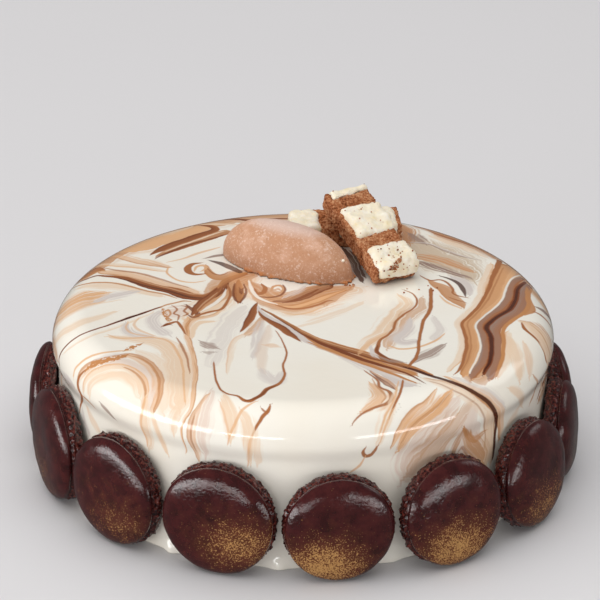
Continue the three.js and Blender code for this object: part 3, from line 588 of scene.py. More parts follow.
        (387.5, 403, 0.8), (375, 407.5, 0.55), (362.5, 413, 0.45), (356, 419, 0.35), (352.5, 424, 0.2))),
    "wedge grey": ("lilac wash", 1, (
        (384, 375, 0.5), (393, 380.5, 1.6), (402, 384.5, 1.6), (411, 385.5, 0.7))),
    "wedge": ("brown right", 0.9, ((371, 371, 0.4), (381, 377, 1.3), (390, 383.5, 1.6), (396, 388.5, 0.6))),
    "falling shade": ("peach wash", 0.7, (
        (397, 390, 0.6), (390, 408, 1.6), (383, 425, 1.6), (378, 441, 1))),
    "falling twin": ("apricot line", 0.8, (
        (398, 382, 0.3), (394.3, 399, 0.5), (384.5, 417.5, 0.5), (380.3, 432.5, 0.3))),
    "falling line": ("toffee line", 1, (
        (402.5, 381, 0.5), (401, 390, 0.6), (396.3, 401, 0.5), (392, 411, 0.4), (389, 418, 0.15))),
    "falling fade": ("apricot line", 0.75, (
        (393, 409, 0.3), (387.7, 420, 0.55), (384, 430, 0.5), (380, 442, 0.3))),
    "falling hook": ("toffee line", 0.95, (
        (377, 446.5, 0.4), (375, 450, 0.8), (371, 454.7, 0.9), (365.5, 456, 0.9), (363.3, 452.3, 0.8),
        (365, 449, 0.4))),
    "falling tail": ("apricot line", 0.8, ((365, 457, 0.3), (360, 465, 0.6), (351, 472, 0.3))),
    "front right line": ("caramel right", 0.95, (
        (436, 390, 0.4), (430, 400, 0.9), (416, 410.3, 1.1), (408, 419, 1.1), (402, 428, 1.1),
        (397, 437, 1), (392.5, 446, 0.5))),
    "front right band": ("apricot wash", 1, (
        (450, 393, 0.8), (444, 401, 1.8), (435, 409, 2), (425, 416.5, 2.2), (412.5, 426, 2.2),
        (405, 436, 1.8), (400, 447, 1))),
    "front right band line": ("caramel line", 0.6, (
        (449, 394, 0.3), (441, 403, 0.6), (430, 411.5, 0.6), (418, 420.5, 0.6), (408, 431, 0.5),
        (402, 442, 0.3))),
    "front right drift one": ("tan wash", 0.5, (
        (458, 414, 0.4), (447, 427, 0.8), (434, 440, 0.8), (422, 454, 0.5))),
    "front right drift two": ("tan wash", 0.45, (
        (466, 417, 0.4), (456, 431, 0.8), (443, 446, 0.9), (428, 462, 0.5))),
    "point": ("tan wash", 1, ((464, 430, 0.5), (468, 438, 2), (474, 446, 3.2), (480, 456, 3.2))),
    "point left line": ("caramel wash", 0.7, (
        (464, 428, 0.3), (460.3, 435, 0.8), (456.3, 443, 1), (453, 452, 0.7))),
    "point right line": ("caramel wash", 0.75, (
        (464, 428, 0.3), (468, 435, 0.8), (475, 438, 1), (481, 434, 0.8), (485.5, 430.5, 0.3))),
    "point nested line": ("toffee line", 0.6, (
        (459, 451, 0.3), (462.5, 446.5, 0.6), (466, 452, 0.6), (469, 458, 0.3))),
    # Zigzag
    "zigzag blush": ("apricot left", 0.9, (
        (490, 265, 1.2), (486, 275, 1.6), (482.5, 285, 1.6), (480, 295, 1.5), (472.5, 307.5, 1.5),
        (465, 314.3, 1.5), (458.5, 322.5, 1.3), (460.5, 331, 1.3), (462, 340, 1.3), (461, 349, 1.3),
        (457, 360, 1.3), (448, 370, 0.8))),
    "zigzag caramel": ("apricot to caramel", 1, (
        (506, 267.5, 3.6), (501, 280, 3.6), (497, 290, 3.3), (491, 301, 3.1), (482, 311, 2.9),
        (472, 320, 2.6), (470, 326, 2.4), (472, 335, 2.4), (474.5, 344, 2.4), (474, 354, 2.3),
        (470, 364, 2.2), (465, 373.5, 1.6))),
    "zigzag grey": ("toffee to ash", 1, (
        (522.5, 279, 1.2), (512.5, 285, 1.6), (509, 295, 1.7), (504, 306, 1.7), (492.5, 314, 1.7),
        (482.5, 321, 1.6), (480, 327.5, 1.5), (484, 336, 1.5), (485, 346, 1.5), (484, 356, 1.5),
        (479, 367.5, 1.5), (473, 376, 1.2))),
    "zigzag far grey": ("toffee to ash", 1, (
        (529, 286, 1.4), (524, 295, 2.2), (522, 305, 2.4), (515, 314, 2.4), (504, 320.5, 2.2),
        (495.5, 328, 2), (495.5, 335, 1.9), (498, 344, 1.9), (497, 354, 1.9), (494, 364, 1.8),
        (490, 376, 1.4))),
    "zigzag right blush": ("apricot right", 0.9, (
        (509, 333, 1), (508, 345, 1.6), (507.5, 356, 1.6), (503.5, 367, 1.2), (499, 376, 0.6))),
    "zigzag right line": ("caramel line", 1, (
        (532, 289, 0.6), (528, 296, 1), (529, 304, 1.1), (525.5, 311.5, 1.2), (515, 319, 1.2),
        (506, 326, 1.1), (503, 332.5, 1), (504, 344, 0.9), (503, 355, 0.9), (500, 365, 0.9),
        (496, 376, 0.6))),
    "zigzag core edge": ("brown line", 1, (
        (526, 282.5, 0.8), (517.5, 289, 1.4), (515, 300, 1.6), (510, 309, 1.5), (499, 316, 1.5),
        (490, 322.5, 1.5), (486.5, 328, 1.4), (490, 335, 1.3), (492, 344, 1.3), (491, 354, 1.3),
        (489, 362.5, 1.2), (484, 373.5, 0.8))),
    "zigzag core": ("cocoa line", 0.9, (
        (524, 284, 0.3), (517.5, 289.5, 0.6), (515, 300, 0.7), (510, 309, 0.7), (499, 316, 0.7),
        (490, 322.5, 0.8), (486.5, 328, 0.8), (490, 335, 0.8), (492, 344, 0.8), (491, 354, 0.8),
        (489, 362.5, 0.7), (484, 372, 0.3))),
    "zigzag pale line": ("ivory line", 0.85, (
        (520, 275.5, 0.4), (511, 280, 0.5), (506, 289, 0.55), (501, 301, 0.55), (492.5, 310, 0.55),
        (482.5, 317.3, 0.5), (476, 325, 0.5), (478.5, 335, 0.5), (480.5, 344, 0.5), (479.5, 351, 0.5),
        (475.5, 361, 0.5), (470, 372.5, 0.4))),
    "zigzag inner line": ("toffee line", 0.55, (
        (503, 268, 0.3), (497, 281, 0.5), (492, 292, 0.5), (486, 302.5, 0.5), (477, 313, 0.5),
        (468.5, 322, 0.4), (469, 331, 0.4), (471, 341, 0.4), (470.5, 351, 0.4), (467, 362, 0.4),
        (462, 371, 0.2))),
    "zigzag left line": ("toffee line", 1, (
        (500, 261, 1.4), (496, 271, 1.2), (491, 281, 1), (490, 287.5, 0.9), (484, 297.5, 0.9),
        (477.5, 307.5, 0.9), (470, 315, 0.9), (463, 322.5, 0.8), (463.5, 331, 0.8), (466.3, 340, 0.8),
        (466.3, 349, 0.8), (463.3, 360, 0.8), (460, 369, 0.7), (455, 374, 0.3))),
    "zigzag cap": ("toffee to tan", 0.95, ((503, 260, 1), (514, 268, 1.8), (524, 276, 2), (532, 285, 1.6))),
    "zigzag elbow": ("caramel line", 0.95, (
        (527, 288, 0.8), (528, 298, 1.5), (531.5, 306, 1.9), (532, 311, 1.6), (524, 315, 0.8))),
    # Right edge
    "right oval": ("tan wash", 0.9, ((533, 291, 0.8), (540, 299, 2), (546, 307, 1.6))),
    "right grey": ("ash line", 0.95, ((537, 307.5, 0.8), (544.5, 312, 2), (551, 321, 1.4))),
    "right grey line": ("toffee line", 0.9, ((535, 312, 0.5), (542, 316, 0.9), (550.5, 326, 0.7))),
    "right fan line": ("caramel line", 0.6, (
        (531, 325, 0.2), (541, 334, 0.5), (548, 348, 0.5), (551, 362, 0.3))),
    "right line": ("toffee line", 1, (
        (522, 323.5, 0.5), (525, 329, 1), (531, 334.3, 0.9), (539, 342.5, 0.8), (544.3, 352.5, 0.8),
        (547, 362.5, 0.75), (546.5, 372, 0.7), (541.5, 386, 0.6), (537.5, 398, 0.4))),
    "right wall streak": ("caramel wash", 0.9, ((546, 375, 0.6), (544, 386, 1.6), (539, 399, 0.8))),
    "right low wash": ("peach wash", 0.8, ((511, 389, 0.8), (517.5, 393, 1.6), (521.5, 404, 1))),
    "right low line": ("caramel wash", 0.7, ((534, 376, 0.4), (535, 390, 0.6), (530, 403, 0.3))),
    "right shoulder": ("peach wash", 0.6, ((520, 405, 0.6), (515, 415, 1.2), (508, 426, 0.8))),
    # Top right
    "pool grey": ("lilac wash", 1, (
        (410, 320, 0.8), (406, 330, 2), (398, 338, 2.2), (403, 342.5, 1.6), (414, 341, 1.2))),
    "pool far grey": ("lilac wash", 0.7, ((434, 318, 0.8), (440, 328, 1.4), (436, 338, 1.4))),
    "pool foot grey": ("ash wash", 0.85, (
        (412, 362.5, 0.6), (424, 356, 1.8), (433, 352, 1.8), (443, 345.5, 0.8))),
    "pool rim": ("apricot line", 0.85, (
        (389, 345.5, 0.4), (399, 349, 0.8), (411, 348.3, 0.8), (424, 345.5, 0.8), (436, 340, 0.7),
        (444, 334, 0.3))),
    "curve warm edge": ("apricot wash", 0.6, (
        (384, 334, 0.8), (374, 340.5, 1.4), (364, 347, 1.2), (359, 353, 0.6))),
    "curve left grey": ("lilac wash", 0.9, ((371, 347, 0.5), (373, 353, 1.2), (377, 357, 0.6))),
    "curve foot grey": ("ash wash", 0.8, ((381, 357, 0.6), (391, 360.5, 1.2), (402, 362, 0.6))),
    "brown line": ("toffee line", 1, (
        (430.5, 289, 0.9), (431, 300, 0.95), (429, 311, 0.95), (423.3, 321, 0.9), (420.6, 331, 0.8),
        (419.3, 341, 0.75), (418, 351, 0.75), (415, 359, 0.9), (409, 366, 0.7))),
    "thin curve": ("toffee line", 1, (
        (404, 290, 0.25), (412.5, 294, 0.45), (417, 301, 0.5), (413.5, 308, 0.5), (403, 315, 0.6),
        (396.3, 321, 0.6), (393, 329, 0.6), (387.5, 335, 0.7), (380.5, 340, 0.8), (378.5, 346, 1),
        (376.5, 351, 1.1), (381, 354.7, 1.1), (387, 358, 0.6))),
    "curve foot": ("brown line", 0.8, (
        (378, 346, 0.3), (376.8, 351, 0.7), (382, 355.3, 0.8), (390, 359.3, 0.4))),
    # Strata and patch behind the bars
    "strata grey": ("ash wash", 0.85, ((410, 234, 0.8), (417, 238, 2.2), (424, 243, 1))),
    "back right pale": ("peach wash", 0.8, (
        (430, 236, 0.6), (450, 243, 1.4), (470, 250, 1.2), (486, 257, 0.6))),
    "back right line": ("toffee line", 0.9, (
        (428, 230.5, 0.3), (440, 235.3, 0.9), (455, 240, 1), (472, 246, 0.8), (485, 252, 0.3))),
    "stratum one": ("ash right", 0.75, (
        (411, 242, 0.4), (430, 243.8, 0.9), (445, 250, 1), (460, 255, 0.9), (478, 259.5, 0.3))),
    "stratum two": ("tan wash", 1, (
        (412, 255, 0.8), (427.5, 257.5, 1.8), (442.5, 261, 2), (457.5, 266, 1.9), (471, 271, 0.8))),
    "stratum two line": ("caramel line", 0.5, (
        (418, 256, 0.2), (435, 260, 0.5), (452, 265, 0.5), (469, 271.5, 0.2))),
    "stratum three": ("ash wash", 1, (
        (416, 261, 0.6), (430, 265, 1.4), (442.5, 269, 1.5), (457.5, 274, 1.3), (470, 278, 0.5))),
    "stratum four": ("ash line", 0.7, (
        (420, 266, 0.2), (436, 270.5, 0.5), (452, 274, 0.5), (468, 280, 0.2))),
    "crescent grey": ("lilac wash", 1, (
        (452, 277, 0.6), (462, 281, 1.6), (469, 287, 1.6), (469, 294, 0.8))),
    "crescent": ("cocoa line", 0.9, (
        (440, 276, 0.3), (450, 279, 0.8), (458.5, 283.5, 1.2), (463, 289.5, 1.3), (465.3, 296, 0.3))),
    "patch": ("tan to caramel", 0.95, (
        (429, 280.5, 0.5), (436, 285, 2), (444.5, 289, 2.6), (451, 296, 2.4), (460, 303, 1.8),
        (463, 307, 0.6))),
    "crescent pale line": ("ivory line", 0.9, (
        (428, 274.5, 0.3), (440, 279, 0.8), (449, 283, 0.8), (455.5, 289, 0.8), (459, 293, 0.3))),
    "patch line": ("toffee line", 0.95, (
        (421, 276, 0.3), (430, 280.5, 0.6), (440, 279.8, 0.6), (447.5, 283, 0.65), (453, 289, 0.65),
        (452.7, 293, 0.5), (458, 295.7, 0.5), (467, 297.7, 0.25))),
    "patch second line": ("toffee line", 0.8, ((450, 297.5, 0.3), (457.5, 300, 0.5), (465.5, 302.5, 0.25))),
    "patch foot": ("apricot line", 0.8, ((440, 296, 0.3), (447.5, 302.5, 0.8), (461, 308.5, 0.4))),
}


def linear(hex_colour):
    """sRGB hex to linear RGBA."""
    values = []
    for start in (1, 3, 5):
        value = int(hex_colour[start:start + 2], 16) / 255
        values.append(value / 12.92 if value <= 0.04045 else ((value + 0.055) / 1.055) ** 2.4)
    return (*values, 1.0)


def tone(name):
    return linear(TONES[name])


def colour_property(name, description, hex_colour):
    colour = linear(hex_colour)[:3]
    return bpy.props.FloatVectorProperty(
        name=name, description=description, default=colour, subtype="COLOR", size=3, min=0, max=1)


def length_property(name, description, millimetres):
    return bpy.props.FloatProperty(
        name=name, description=description, default=millimetres * MM, unit="LENGTH")


def power_property(name, description, watts):
    return bpy.props.FloatProperty(name=name, description=description, default=watts, unit="POWER")


# Settings


class CakeSettings(bpy.types.PropertyGroup):
    """Sizes and colours of the glazed cake."""

    radius: length_property("Radius", "Widest radius of the glazed cake", 90)
    height: length_property("Height", "Height of the glazed top", 60)
    shoulder: length_property("Shoulder", "Radius of the rounded shoulder", 12.5)
    wall_radius: length_property("Wall radius", "Radius of the upright wall", 88)
    foot_radius: length_property("Foot radius", "Radius where the cake stands", 86.5)
    flare: length_property("Flare", "Height over which the wall widens to the shoulder", 7)
    drip_reach: length_property("Drip reach", "How far set glaze stands out at the foot", 1.9)
    drip_height: length_property("Drip height", "Height of the set glaze at the foot", 4.0)
    ivory: colour_property("Ivory", "Ground colour of the glaze", TONES["ivory"])


class MacaronSettings(bpy.types.PropertyGroup):
    """Sizes and colours of the macaron shells."""

    depth: length_property("Depth", "Depth of a shell from its flat back to its dome", 10.4)
    foot_depth: length_property("Foot depth", "Depth of the ruffled foot", 4.6)
    crease: length_property("Crease", "Depth of the groove between foot and dome", 0.9)
    dome_colour: colour_property("Dome", "Baked chocolate meringue", "#3b1415")
    dust_colour: colour_property("Dust", "Bronze dusting powder", "#d9a566")


class QuenelleSettings(bpy.types.PropertyGroup):
    """Sizes and colours of the quenelle."""

    length: length_property("Length", "Length of the oval", 54)
    width: length_property("Width", "Width of the oval", 23.8)
    height: length_property("Height", "Height of the oval", 16.7)
    mousse: colour_property("Mousse", "Milk chocolate mousse", "#bf8d6c")
    bloom: colour_property("Bloom", "Pale frosted bloom", "#e8d3c6")


class BarSettings(bpy.types.PropertyGroup):
    """Grain and colours of the layered bars."""

    voxel: length_property("Grain", "Finest detail of the cut faces", 0.36)
    sponge: colour_property("Sponge", "Cocoa sponge", "#a2623d")
    cream: colour_property("Cream", "Vanilla cream", "#efe4cd")
    crumb: length_property("Crumb", "Usual size of a crumb", 0.6)
    swell: length_property("Swell", "How far the cream swells out of the cut", 1.1)
    cap_swell: length_property("Cap swell", "How far the cream on the end of the bar swells", 0.2)


class StageSettings(bpy.types.PropertyGroup):
    """Floor, lights and camera."""

    floor_colour: colour_property("Floor", "Pale floor", "#d9d7d8")
    key_power: power_property("Key light", "Power of the long softbox on the left", 7.0)
    top_power: power_property("Top light", "Power of the overhead softbox", 36.0)
    fill_power: power_property("Fill light", "Power of the softbox behind the camera", 2.5)
    front_strip_power: power_property("Front strip", "Power of the strip in front", 0.75)
    right_strip_power: power_property("Right strip", "Power of the strip on the right", 0.42)
    right_power: power_property("Right light", "Power of the small softbox on the right", 1.0)
    lens: bpy.props.FloatProperty(name="Lens", description="Focal length in mm", default=LENS)


# Helpers for modelling


def deselect_all():
    if bpy.context.object and bpy.context.object.mode != "OBJECT":
        bpy.ops.object.mode_set(mode="OBJECT")
    bpy.ops.object.select_all(action="DESELECT")


def make_active(piece):
    deselect_all()
    piece.select_set(True)
    bpy.context.view_layer.objects.active = piece


def merge_corners(piece, threshold=1e-6, outward=True):
    """Merges corners that coincide and, unless told not to, turns the faces outwards."""
    make_active(piece)
    bpy.ops.object.mode_set(mode="EDIT")
    bpy.ops.mesh.select_all(action="SELECT")
    bpy.ops.mesh.remove_doubles(threshold=threshold)
    if outward:
        bpy.ops.mesh.normals_make_consistent(inside=False)
    bpy.ops.object.mode_set(mode="OBJECT")


def spun_profile(name, profile, axis, steps):
    """Extrudes one corner along a profile of (x, z) points and spins it into a closed skin."""
    deselect_all()
    bpy.ops.mesh.primitive_plane_add(size=MM, location=(0, 0, 0))
    piece = bpy.context.object
    piece.name = name
    bpy.ops.object.mode_set(mode="EDIT")
    bpy.ops.mesh.select_all(action="SELECT")
    bpy.ops.mesh.merge(type="CENTER")
    x, z = profile[0]
    bpy.ops.transform.translate(value=(x, 0, z))
    for next_x, next_z in profile[1:]:
        bpy.ops.mesh.extrude_region_move(TRANSFORM_OT_translate={"value": (next_x - x, 0, next_z - z)})
        x, z = next_x, next_z
    bpy.ops.mesh.select_all(action="SELECT")
    bpy.ops.mesh.spin(steps=steps, angle=TURN, center=(0, 0, 0), axis=axis)
    merge_corners(piece)
    bpy.ops.object.shade_smooth()
    return piece


def points_of(piece):
    points = np.empty(len(piece.data.vertices) * 3)
    piece.data.vertices.foreach_get("co", points)
    return points.reshape(-1, 3)


def set_points(piece, points):
    piece.data.vertices.foreach_set("co", np.ascontiguousarray(points, float).ravel())
    piece.data.update()


def apply_modifier(piece, kind, **settings):
    make_active(piece)
    modifier = piece.modifiers.new(kind.lower(), kind)
    for key, value in settings.items():
        setattr(modifier, key, value)
    bpy.ops.object.modifier_apply(modifier=modifier.name)


def roughen(piece, pattern, size, strength, group="", depth=2):
    """Pushes the skin in and out by a cloud or cell pattern of a real size."""
    texture = bpy.data.textures.new(f"{piece.name}_{pattern.lower()}", pattern)
    texture.noise_scale = size
    if pattern == "CLOUDS":
        texture.noise_depth = depth
    apply_modifier(
        piece, "DISPLACE", texture=texture, texture_coords="LOCAL", strength=strength, mid_level=0.5,
        vertex_group=group)
    bpy.data.textures.remove(texture)


def set_group(piece, name, weights):
    least = 0.01
    group = piece.vertex_groups.new(name=name)
    for index in np.flatnonzero(weights > least):
        group.add([int(index)], float(weights[index]), "REPLACE")


def set_attribute(piece, name, kind, values):
    layer = piece.data.attributes.new(name, kind, "POINT")
    field = {"FLOAT": "value", "FLOAT_VECTOR": "vector", "FLOAT_COLOR": "color"}[kind]
    layer.data.foreach_set(field, np.ascontiguousarray(values, np.float32).ravel())


def smooth_step(values, low, high):
    t = np.clip((values - low) / (high - low), 0, 1)
    return t * t * (3 - 2 * t)


def finish_piece(piece, material, slot, *nodes):
    piece.data.materials.clear()
    piece.data.materials.append(material)
    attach(piece, "root")
    if nodes:
        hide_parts(*nodes)


def shell_places():
    """All shells: the front ones as listed, and the back ones evenly in what is left of the ring."""
    first = FRONT_SHELLS[-1][0]
    step = (FRONT_SHELLS[0][0] + 360 - first) / (BACK_SHELLS + 1)
    places = list(FRONT_SHELLS)
    for i in range(1, BACK_SHELLS + 1):
        places.append((first + i * step, *BACK_SHELL))
    return places


# Helper for materials


def add_node(tree, kind, settings=None, inputs=None):
    """Adds a node, sets its options, and fills or links its sockets. A node stands for its first output."""
    node = tree.nodes.new(f"ShaderNode{kind}")
    for key, value in (settings or {}).items():
        if key != "stops":
            setattr(node, key, value)
            continue
        ramp = node.color_ramp
        while len(ramp.elements) < len(value):
            ramp.elements.new(0.5)
        for element, (position, colour) in zip(ramp.elements, value):
            element.position = position
            element.color = colour
    for key, value in (inputs or {}).items():
        if isinstance(value, bpy.types.Node):
            value = value.outputs[0]
        if isinstance(value, bpy.types.NodeSocket):
            tree.links.new(value, node.inputs[key])
        else:
            node.inputs[key].default_value = value
    return node


def new_material(name):
    material = bpy.data.materials.new(name)
    material.use_nodes = True
    material.node_tree.nodes.clear()
    return material, material.node_tree


def close_material(tree, shader):
    add_node(tree, "OutputMaterial", inputs={"Surface": shader})


# Glaze


def cake_profile(cake):
    """Half outline from the middle of the underside to the middle of the top."""
    rounding = 1.2 * MM
    rounding_steps = 4
    wall_steps = 36
    flare_steps = 8
    shoulder_steps = 28
    top_rings = 88
    base = cake.height - cake.shoulder
    centre = cake.radius - cake.shoulder
    wall_top = base - cake.flare
    foot = cake.foot_radius + rounding
    profile = [(0, 0), (cake.foot_radius / 2, 0), (cake.foot_radius, 0)]
    for i in range(1, rounding_steps + 1):
        turn = math.pi / 2 * i / rounding_steps
        profile.append((cake.foot_radius + rounding * math.sin(turn), rounding * (1 - math.cos(turn))))
    for i in range(1, wall_steps + 1):
        z = rounding + (wall_top - rounding) * (i / wall_steps)
        settle = min(1, (z - rounding) / cake.drip_height)
        profile.append((foot + (cake.wall_radius - foot) * settle, z))
    for i in range(1, flare_steps):
        t = i / flare_steps
        ease = t * t * (3 - 2 * t)
        reach = cake.wall_radius + (cake.radius - cake.wall_radius) * ease
        profile.append((reach, wall_top + cake.flare * t))
    for i in range(shoulder_steps + 1):
        turn = math.pi / 2 * i / shoulder_steps
        profile.append((centre + cake.shoulder * math.cos(turn), base + cake.shoulder * math.sin(turn)))
    for i in range(1, top_rings):
        profile.append((centre * (1 - i / top_rings), cake.height))
    profile.append((0, cake.height))
    return profile


def peeled_places(points, cake):
    """Where each corner would lie, in mm, if the glaze were peeled off and laid flat."""
    base = cake.height - cake.shoulder
    centre = cake.radius - cake.shoulder
    radius = np.hypot(points[:, 0], points[:, 1])
    turn = np.arctan2(radius - centre, points[:, 2] - base)
    on_shoulder = centre + cake.shoulder * np.clip(turn, 0, math.pi / 2)
    on_wall = centre + cake.shoulder * math.pi / 2 + base - points[:, 2]
    reach = np.where(radius <= centre, radius, on_shoulder)
    reach = np.where(points[:, 2] < base, on_wall, reach)
    ratio = reach / np.maximum(radius, 1e-9)
    return points[:, :2] * ratio[:, None] / MM


def smooth_path(points):
    """A smooth curve through given points, with the width carried along."""
    knots = np.array(points, float)
    knots = np.vstack([2 * knots[0] - knots[1], knots, 2 * knots[-1] - knots[-2]])
    path = []
    for i in range(1, len(knots) - 2):
        a, b, c, d = knots[i - 1:i + 3]
        count = max(2, int(np.linalg.norm(c[:2] - b[:2]) / PATH_STEP))
        t = np.linspace(0, 1, count, endpoint=False)[:, None]
        bend = 2 * a - 5 * b + 4 * c - d
        twist = 3 * b - a - 3 * c + d
        curve = 0.5 * (2 * b + (c - a) * t + bend * t ** 2 + twist * t ** 3)
        curve[:, 2:] = b[2] + (c[2] - b[2]) * t
        path.append(curve)
    path.append(knots[-2:-1])
    return np.vstack(path)


def streak_field(places, path):
    """Signed distance, length along and half width of a streak at each place."""
    start = path[:-1]
    step = np.diff(path, axis=0)
    run = np.maximum(np.linalg.norm(step[:, :2], axis=1), 1e-6)
    along = np.concatenate([[0], np.cumsum(run)[:-1]])
    result = np.empty((len(places), 3))
    for first in range(0, len(places), FIELD_BLOCK):
        block = places[first:first + FIELD_BLOCK]
        dx = block[:, 0, None] - start[:, 0]
        dy = block[:, 1, None] - start[:, 1]
        t = np.clip((dx * step[:, 0] + dy * step[:, 1]) / run ** 2, 0, 1)
        gap = np.hypot(dx - t * step[:, 0], dy - t * step[:, 1])
        best = gap.argmin(axis=1)
        row = np.arange(len(block))
        side = np.sign(step[best, 0] * dy[row, best] - step[best, 1] * dx[row, best])
        result[first:first + FIELD_BLOCK, 0] = gap[row, best] * np.where(side == 0, 1, side)
        result[first:first + FIELD_BLOCK, 1] = along[best] + t[row, best] * run[best]
        result[first:first + FIELD_BLOCK, 2] = start[best, 2] + t[row, best] * step[best, 2]
    return result


def spot_behind(piece, x, y):
    """The place on a piece behind a place in the photograph, moved in until it meets the piece."""
    forward = (AIM - EYE).normalized()
    right = forward.cross(UP).normalized()
    up = right.cross(forward)
    per_pixel = SENSOR / LENS / PICTURE
    for attempt in range(NUDGES):
        ray = forward + (x - PICTURE / 2) * per_pixel * right + (PICTURE / 2 - y) * per_pixel * up
        hit, spot = piece.ray_cast(EYE, ray.normalized())[:2]
        if hit:
            return spot
        x += (CAKE_MIDDLE[0] - x) * NUDGE
        y += (CAKE_MIDDLE[1] - y) * NUDGE
    raise RuntimeError(f"No part of {piece.name} lies near this place in the photograph")


def seen_streaks(piece, cake):
    """The streaks that the photograph shows, laid on the glaze through the camera that matches it."""
    bpy.context.view_layer.update()
    streaks = []
    for style, strength, points in MARBLING.values():
        spots = np.array([spot_behind(piece, x, y) for x, y, half in points])
        flat = peeled_places(spots, cake)
        # Laid flat, the wall is wider than it is on the cake
        widening = np.maximum(1, np.hypot(flat[:, 0], flat[:, 1]) * MM / cake.radius)
        spread = SPREAD[style.split()[1]]
        halves = np.array([half for x, y, half in points]) * widening * spread
        streaks.append((style, strength, np.column_stack([flat, halves])))
    return streaks


def hidden_streaks():
    """Runs down the sides and the back, which the photograph doesn't show, placed by rule."""
    rng = random.Random(31)
    streaks = []
    # Pale runs: how many, first place and spacing in degrees, steps down in mm, and taper
    pale_runs = 26
    pale_first = -14
    pale_spacing = 8.2
    pale_step = 12
    pale_taper = (0.4, 1, 1, 0.8, 0.4)
    for i in range(pale_runs):
        angle = math.radians(pale_first + pale_spacing * i + rng.uniform(-2.5, 2.5))
        start = rng.uniform(88, 97)
        drift = rng.uniform(-0.05, 0.05)
        half = rng.uniform(1.2, 3.0)
        points = []
        for k, share in enumerate(pale_taper):
            reach = start + k * pale_step
            turn = angle + drift * k / (len(pale_taper) - 1)
            points.append((reach * math.cos(turn), reach * math.sin(turn), half * share))
        shade = rng.choice(("peach", "peach", "apricot", "tan"))
        form = rng.choice(("wash", "wash", "left", "right"))
        streaks.append((f"{shade} {form}", rng.uniform(0.6, 0.95), points))
    # Darker runs, narrower and swaying
    dark_runs = 9
    dark_first = -6
    dark_spacing = 22
    dark_step = 9
    dark_sway = 0.05
    dark_strength = 0.85
    dark_taper = (0.4, 1, 1.1, 0.9, 0.6, 0.3)
    for i in range(dark_runs):
        angle = math.radians(dark_first + dark_spacing * i + rng.uniform(-4, 4))
        start = rng.uniform(92, 99)
        half = rng.uniform(0.5, 1.5)
        points = []
        for k, share in enumerate(dark_taper):
            reach = start + k * dark_step
            turn = angle + dark_sway * math.sin(k + i)
            points.append((reach * math.cos(turn), reach * math.sin(turn), half * share))
        style = rng.choice(("caramel wash", "toffee line", "caramel line", "tan to caramel", "caramel left"))
        streaks.append((style, dark_strength, points))
    return streaks


def cross_section(style):
    """Colour and cover on the left of a streak, in its middle and on its right."""
    words = style.split()
    shade = tone(words[0])[:3]
    if words[1] == "to":
        other = tone(words[2])[:3]
        between = tuple((a + b) / 2 for a, b in zip(shade, other))
        return (shade, 1), (between, 1), (other, 1)
    pale = tone(PALER.get(words[0], "ivory"))[:3]
    forms = {
        "line": ((shade, 1), (shade, 1), (shade, 1)),
        "wash": ((shade, 0), (shade, 1), (shade, 0)),
        "fill": ((shade, 0.7), (shade, 1), (shade, 0.7)),
        "left": ((shade, 1), (pale, 0.8), (pale, 0)),
        "right": ((pale, 0), (pale, 0.8), (shade, 1)),
        "band": ((shade, 1), (pale, 1), (shade, 1)),
        "brush": ((shade, 1.5), (shade, 1.38), (shade, 1.5)),
    }
    return forms[words[1]]


def new_layer(count):
    """A layer of glaze with no streak in it yet."""
    field = np.zeros((count, 3))
    field[:, 0] = FAR_OFF
    field[:, 2] = NO_WIDTH
    tones = {side: np.zeros((count, 4)) for side in SIDES}
    return {"field": field, "tones": tones, "taken": np.zeros(count, bool), "skirt": np.full(count, FAR_OFF)}


def paint_marbling(piece, cake):
    """Sorts the streaks into layers and writes to the glaze where each runs, its width and its tones."""
    places = peeled_places(points_of(piece), cake)
    layers = []
    highest = np.full(len(places), -1)
    for order, (style, strength, points) in enumerate(seen_streaks(piece, cake) + hidden_streaks()):
        path = smooth_path(points)
        margin = path[:, 2].max() + SKIRT
        low = path[:, :2].min(axis=0) - margin
        high = path[:, :2].max(axis=0) + margin
        near = np.flatnonzero(np.all((places > low) & (places < high), axis=1))
        found = streak_field(places[near], path)
        depth = np.abs(found[:, 0]) - found[:, 2]
        own = depth < CLAIM
        shown = near[depth < SHOWN]
        level = highest[shown].max(initial=-1) + 1
        while level < len(layers) and layers[level]["taken"][near[own]].any():
            level += 1
        if level == len(layers):
            layers.append(new_layer(len(places)))
        layer = layers[level]
        highest[shown] = np.maximum(highest[shown], level)
        found[:, 1] += THREAD_SHIFT * order
        around = ~layer["taken"][near] & (depth < layer["skirt"][near]) & (depth < SKIRT)
        layer["field"][near[around]] = found[around]
        layer["skirt"][near[around]] = depth[around]
        layer["taken"][near[own]] = True
        cover = strength * (1 - smooth_step(depth[own], SHOWN, CLAIM - 0.1))
        for side, (colour, share) in zip(SIDES, cross_section(style)):
            layer["tones"][side][near[own], :3] = colour
            layer["tones"][side][near[own], 3] = share * cover
    for number, layer in enumerate(layers):
        set_attribute(piece, f"streak_{number}_place", "FLOAT_VECTOR", layer["field"])
        for side in SIDES:
            set_attribute(piece, f"streak_{number}_{side}", "FLOAT_COLOR", layer["tones"][side])
    return len(layers)


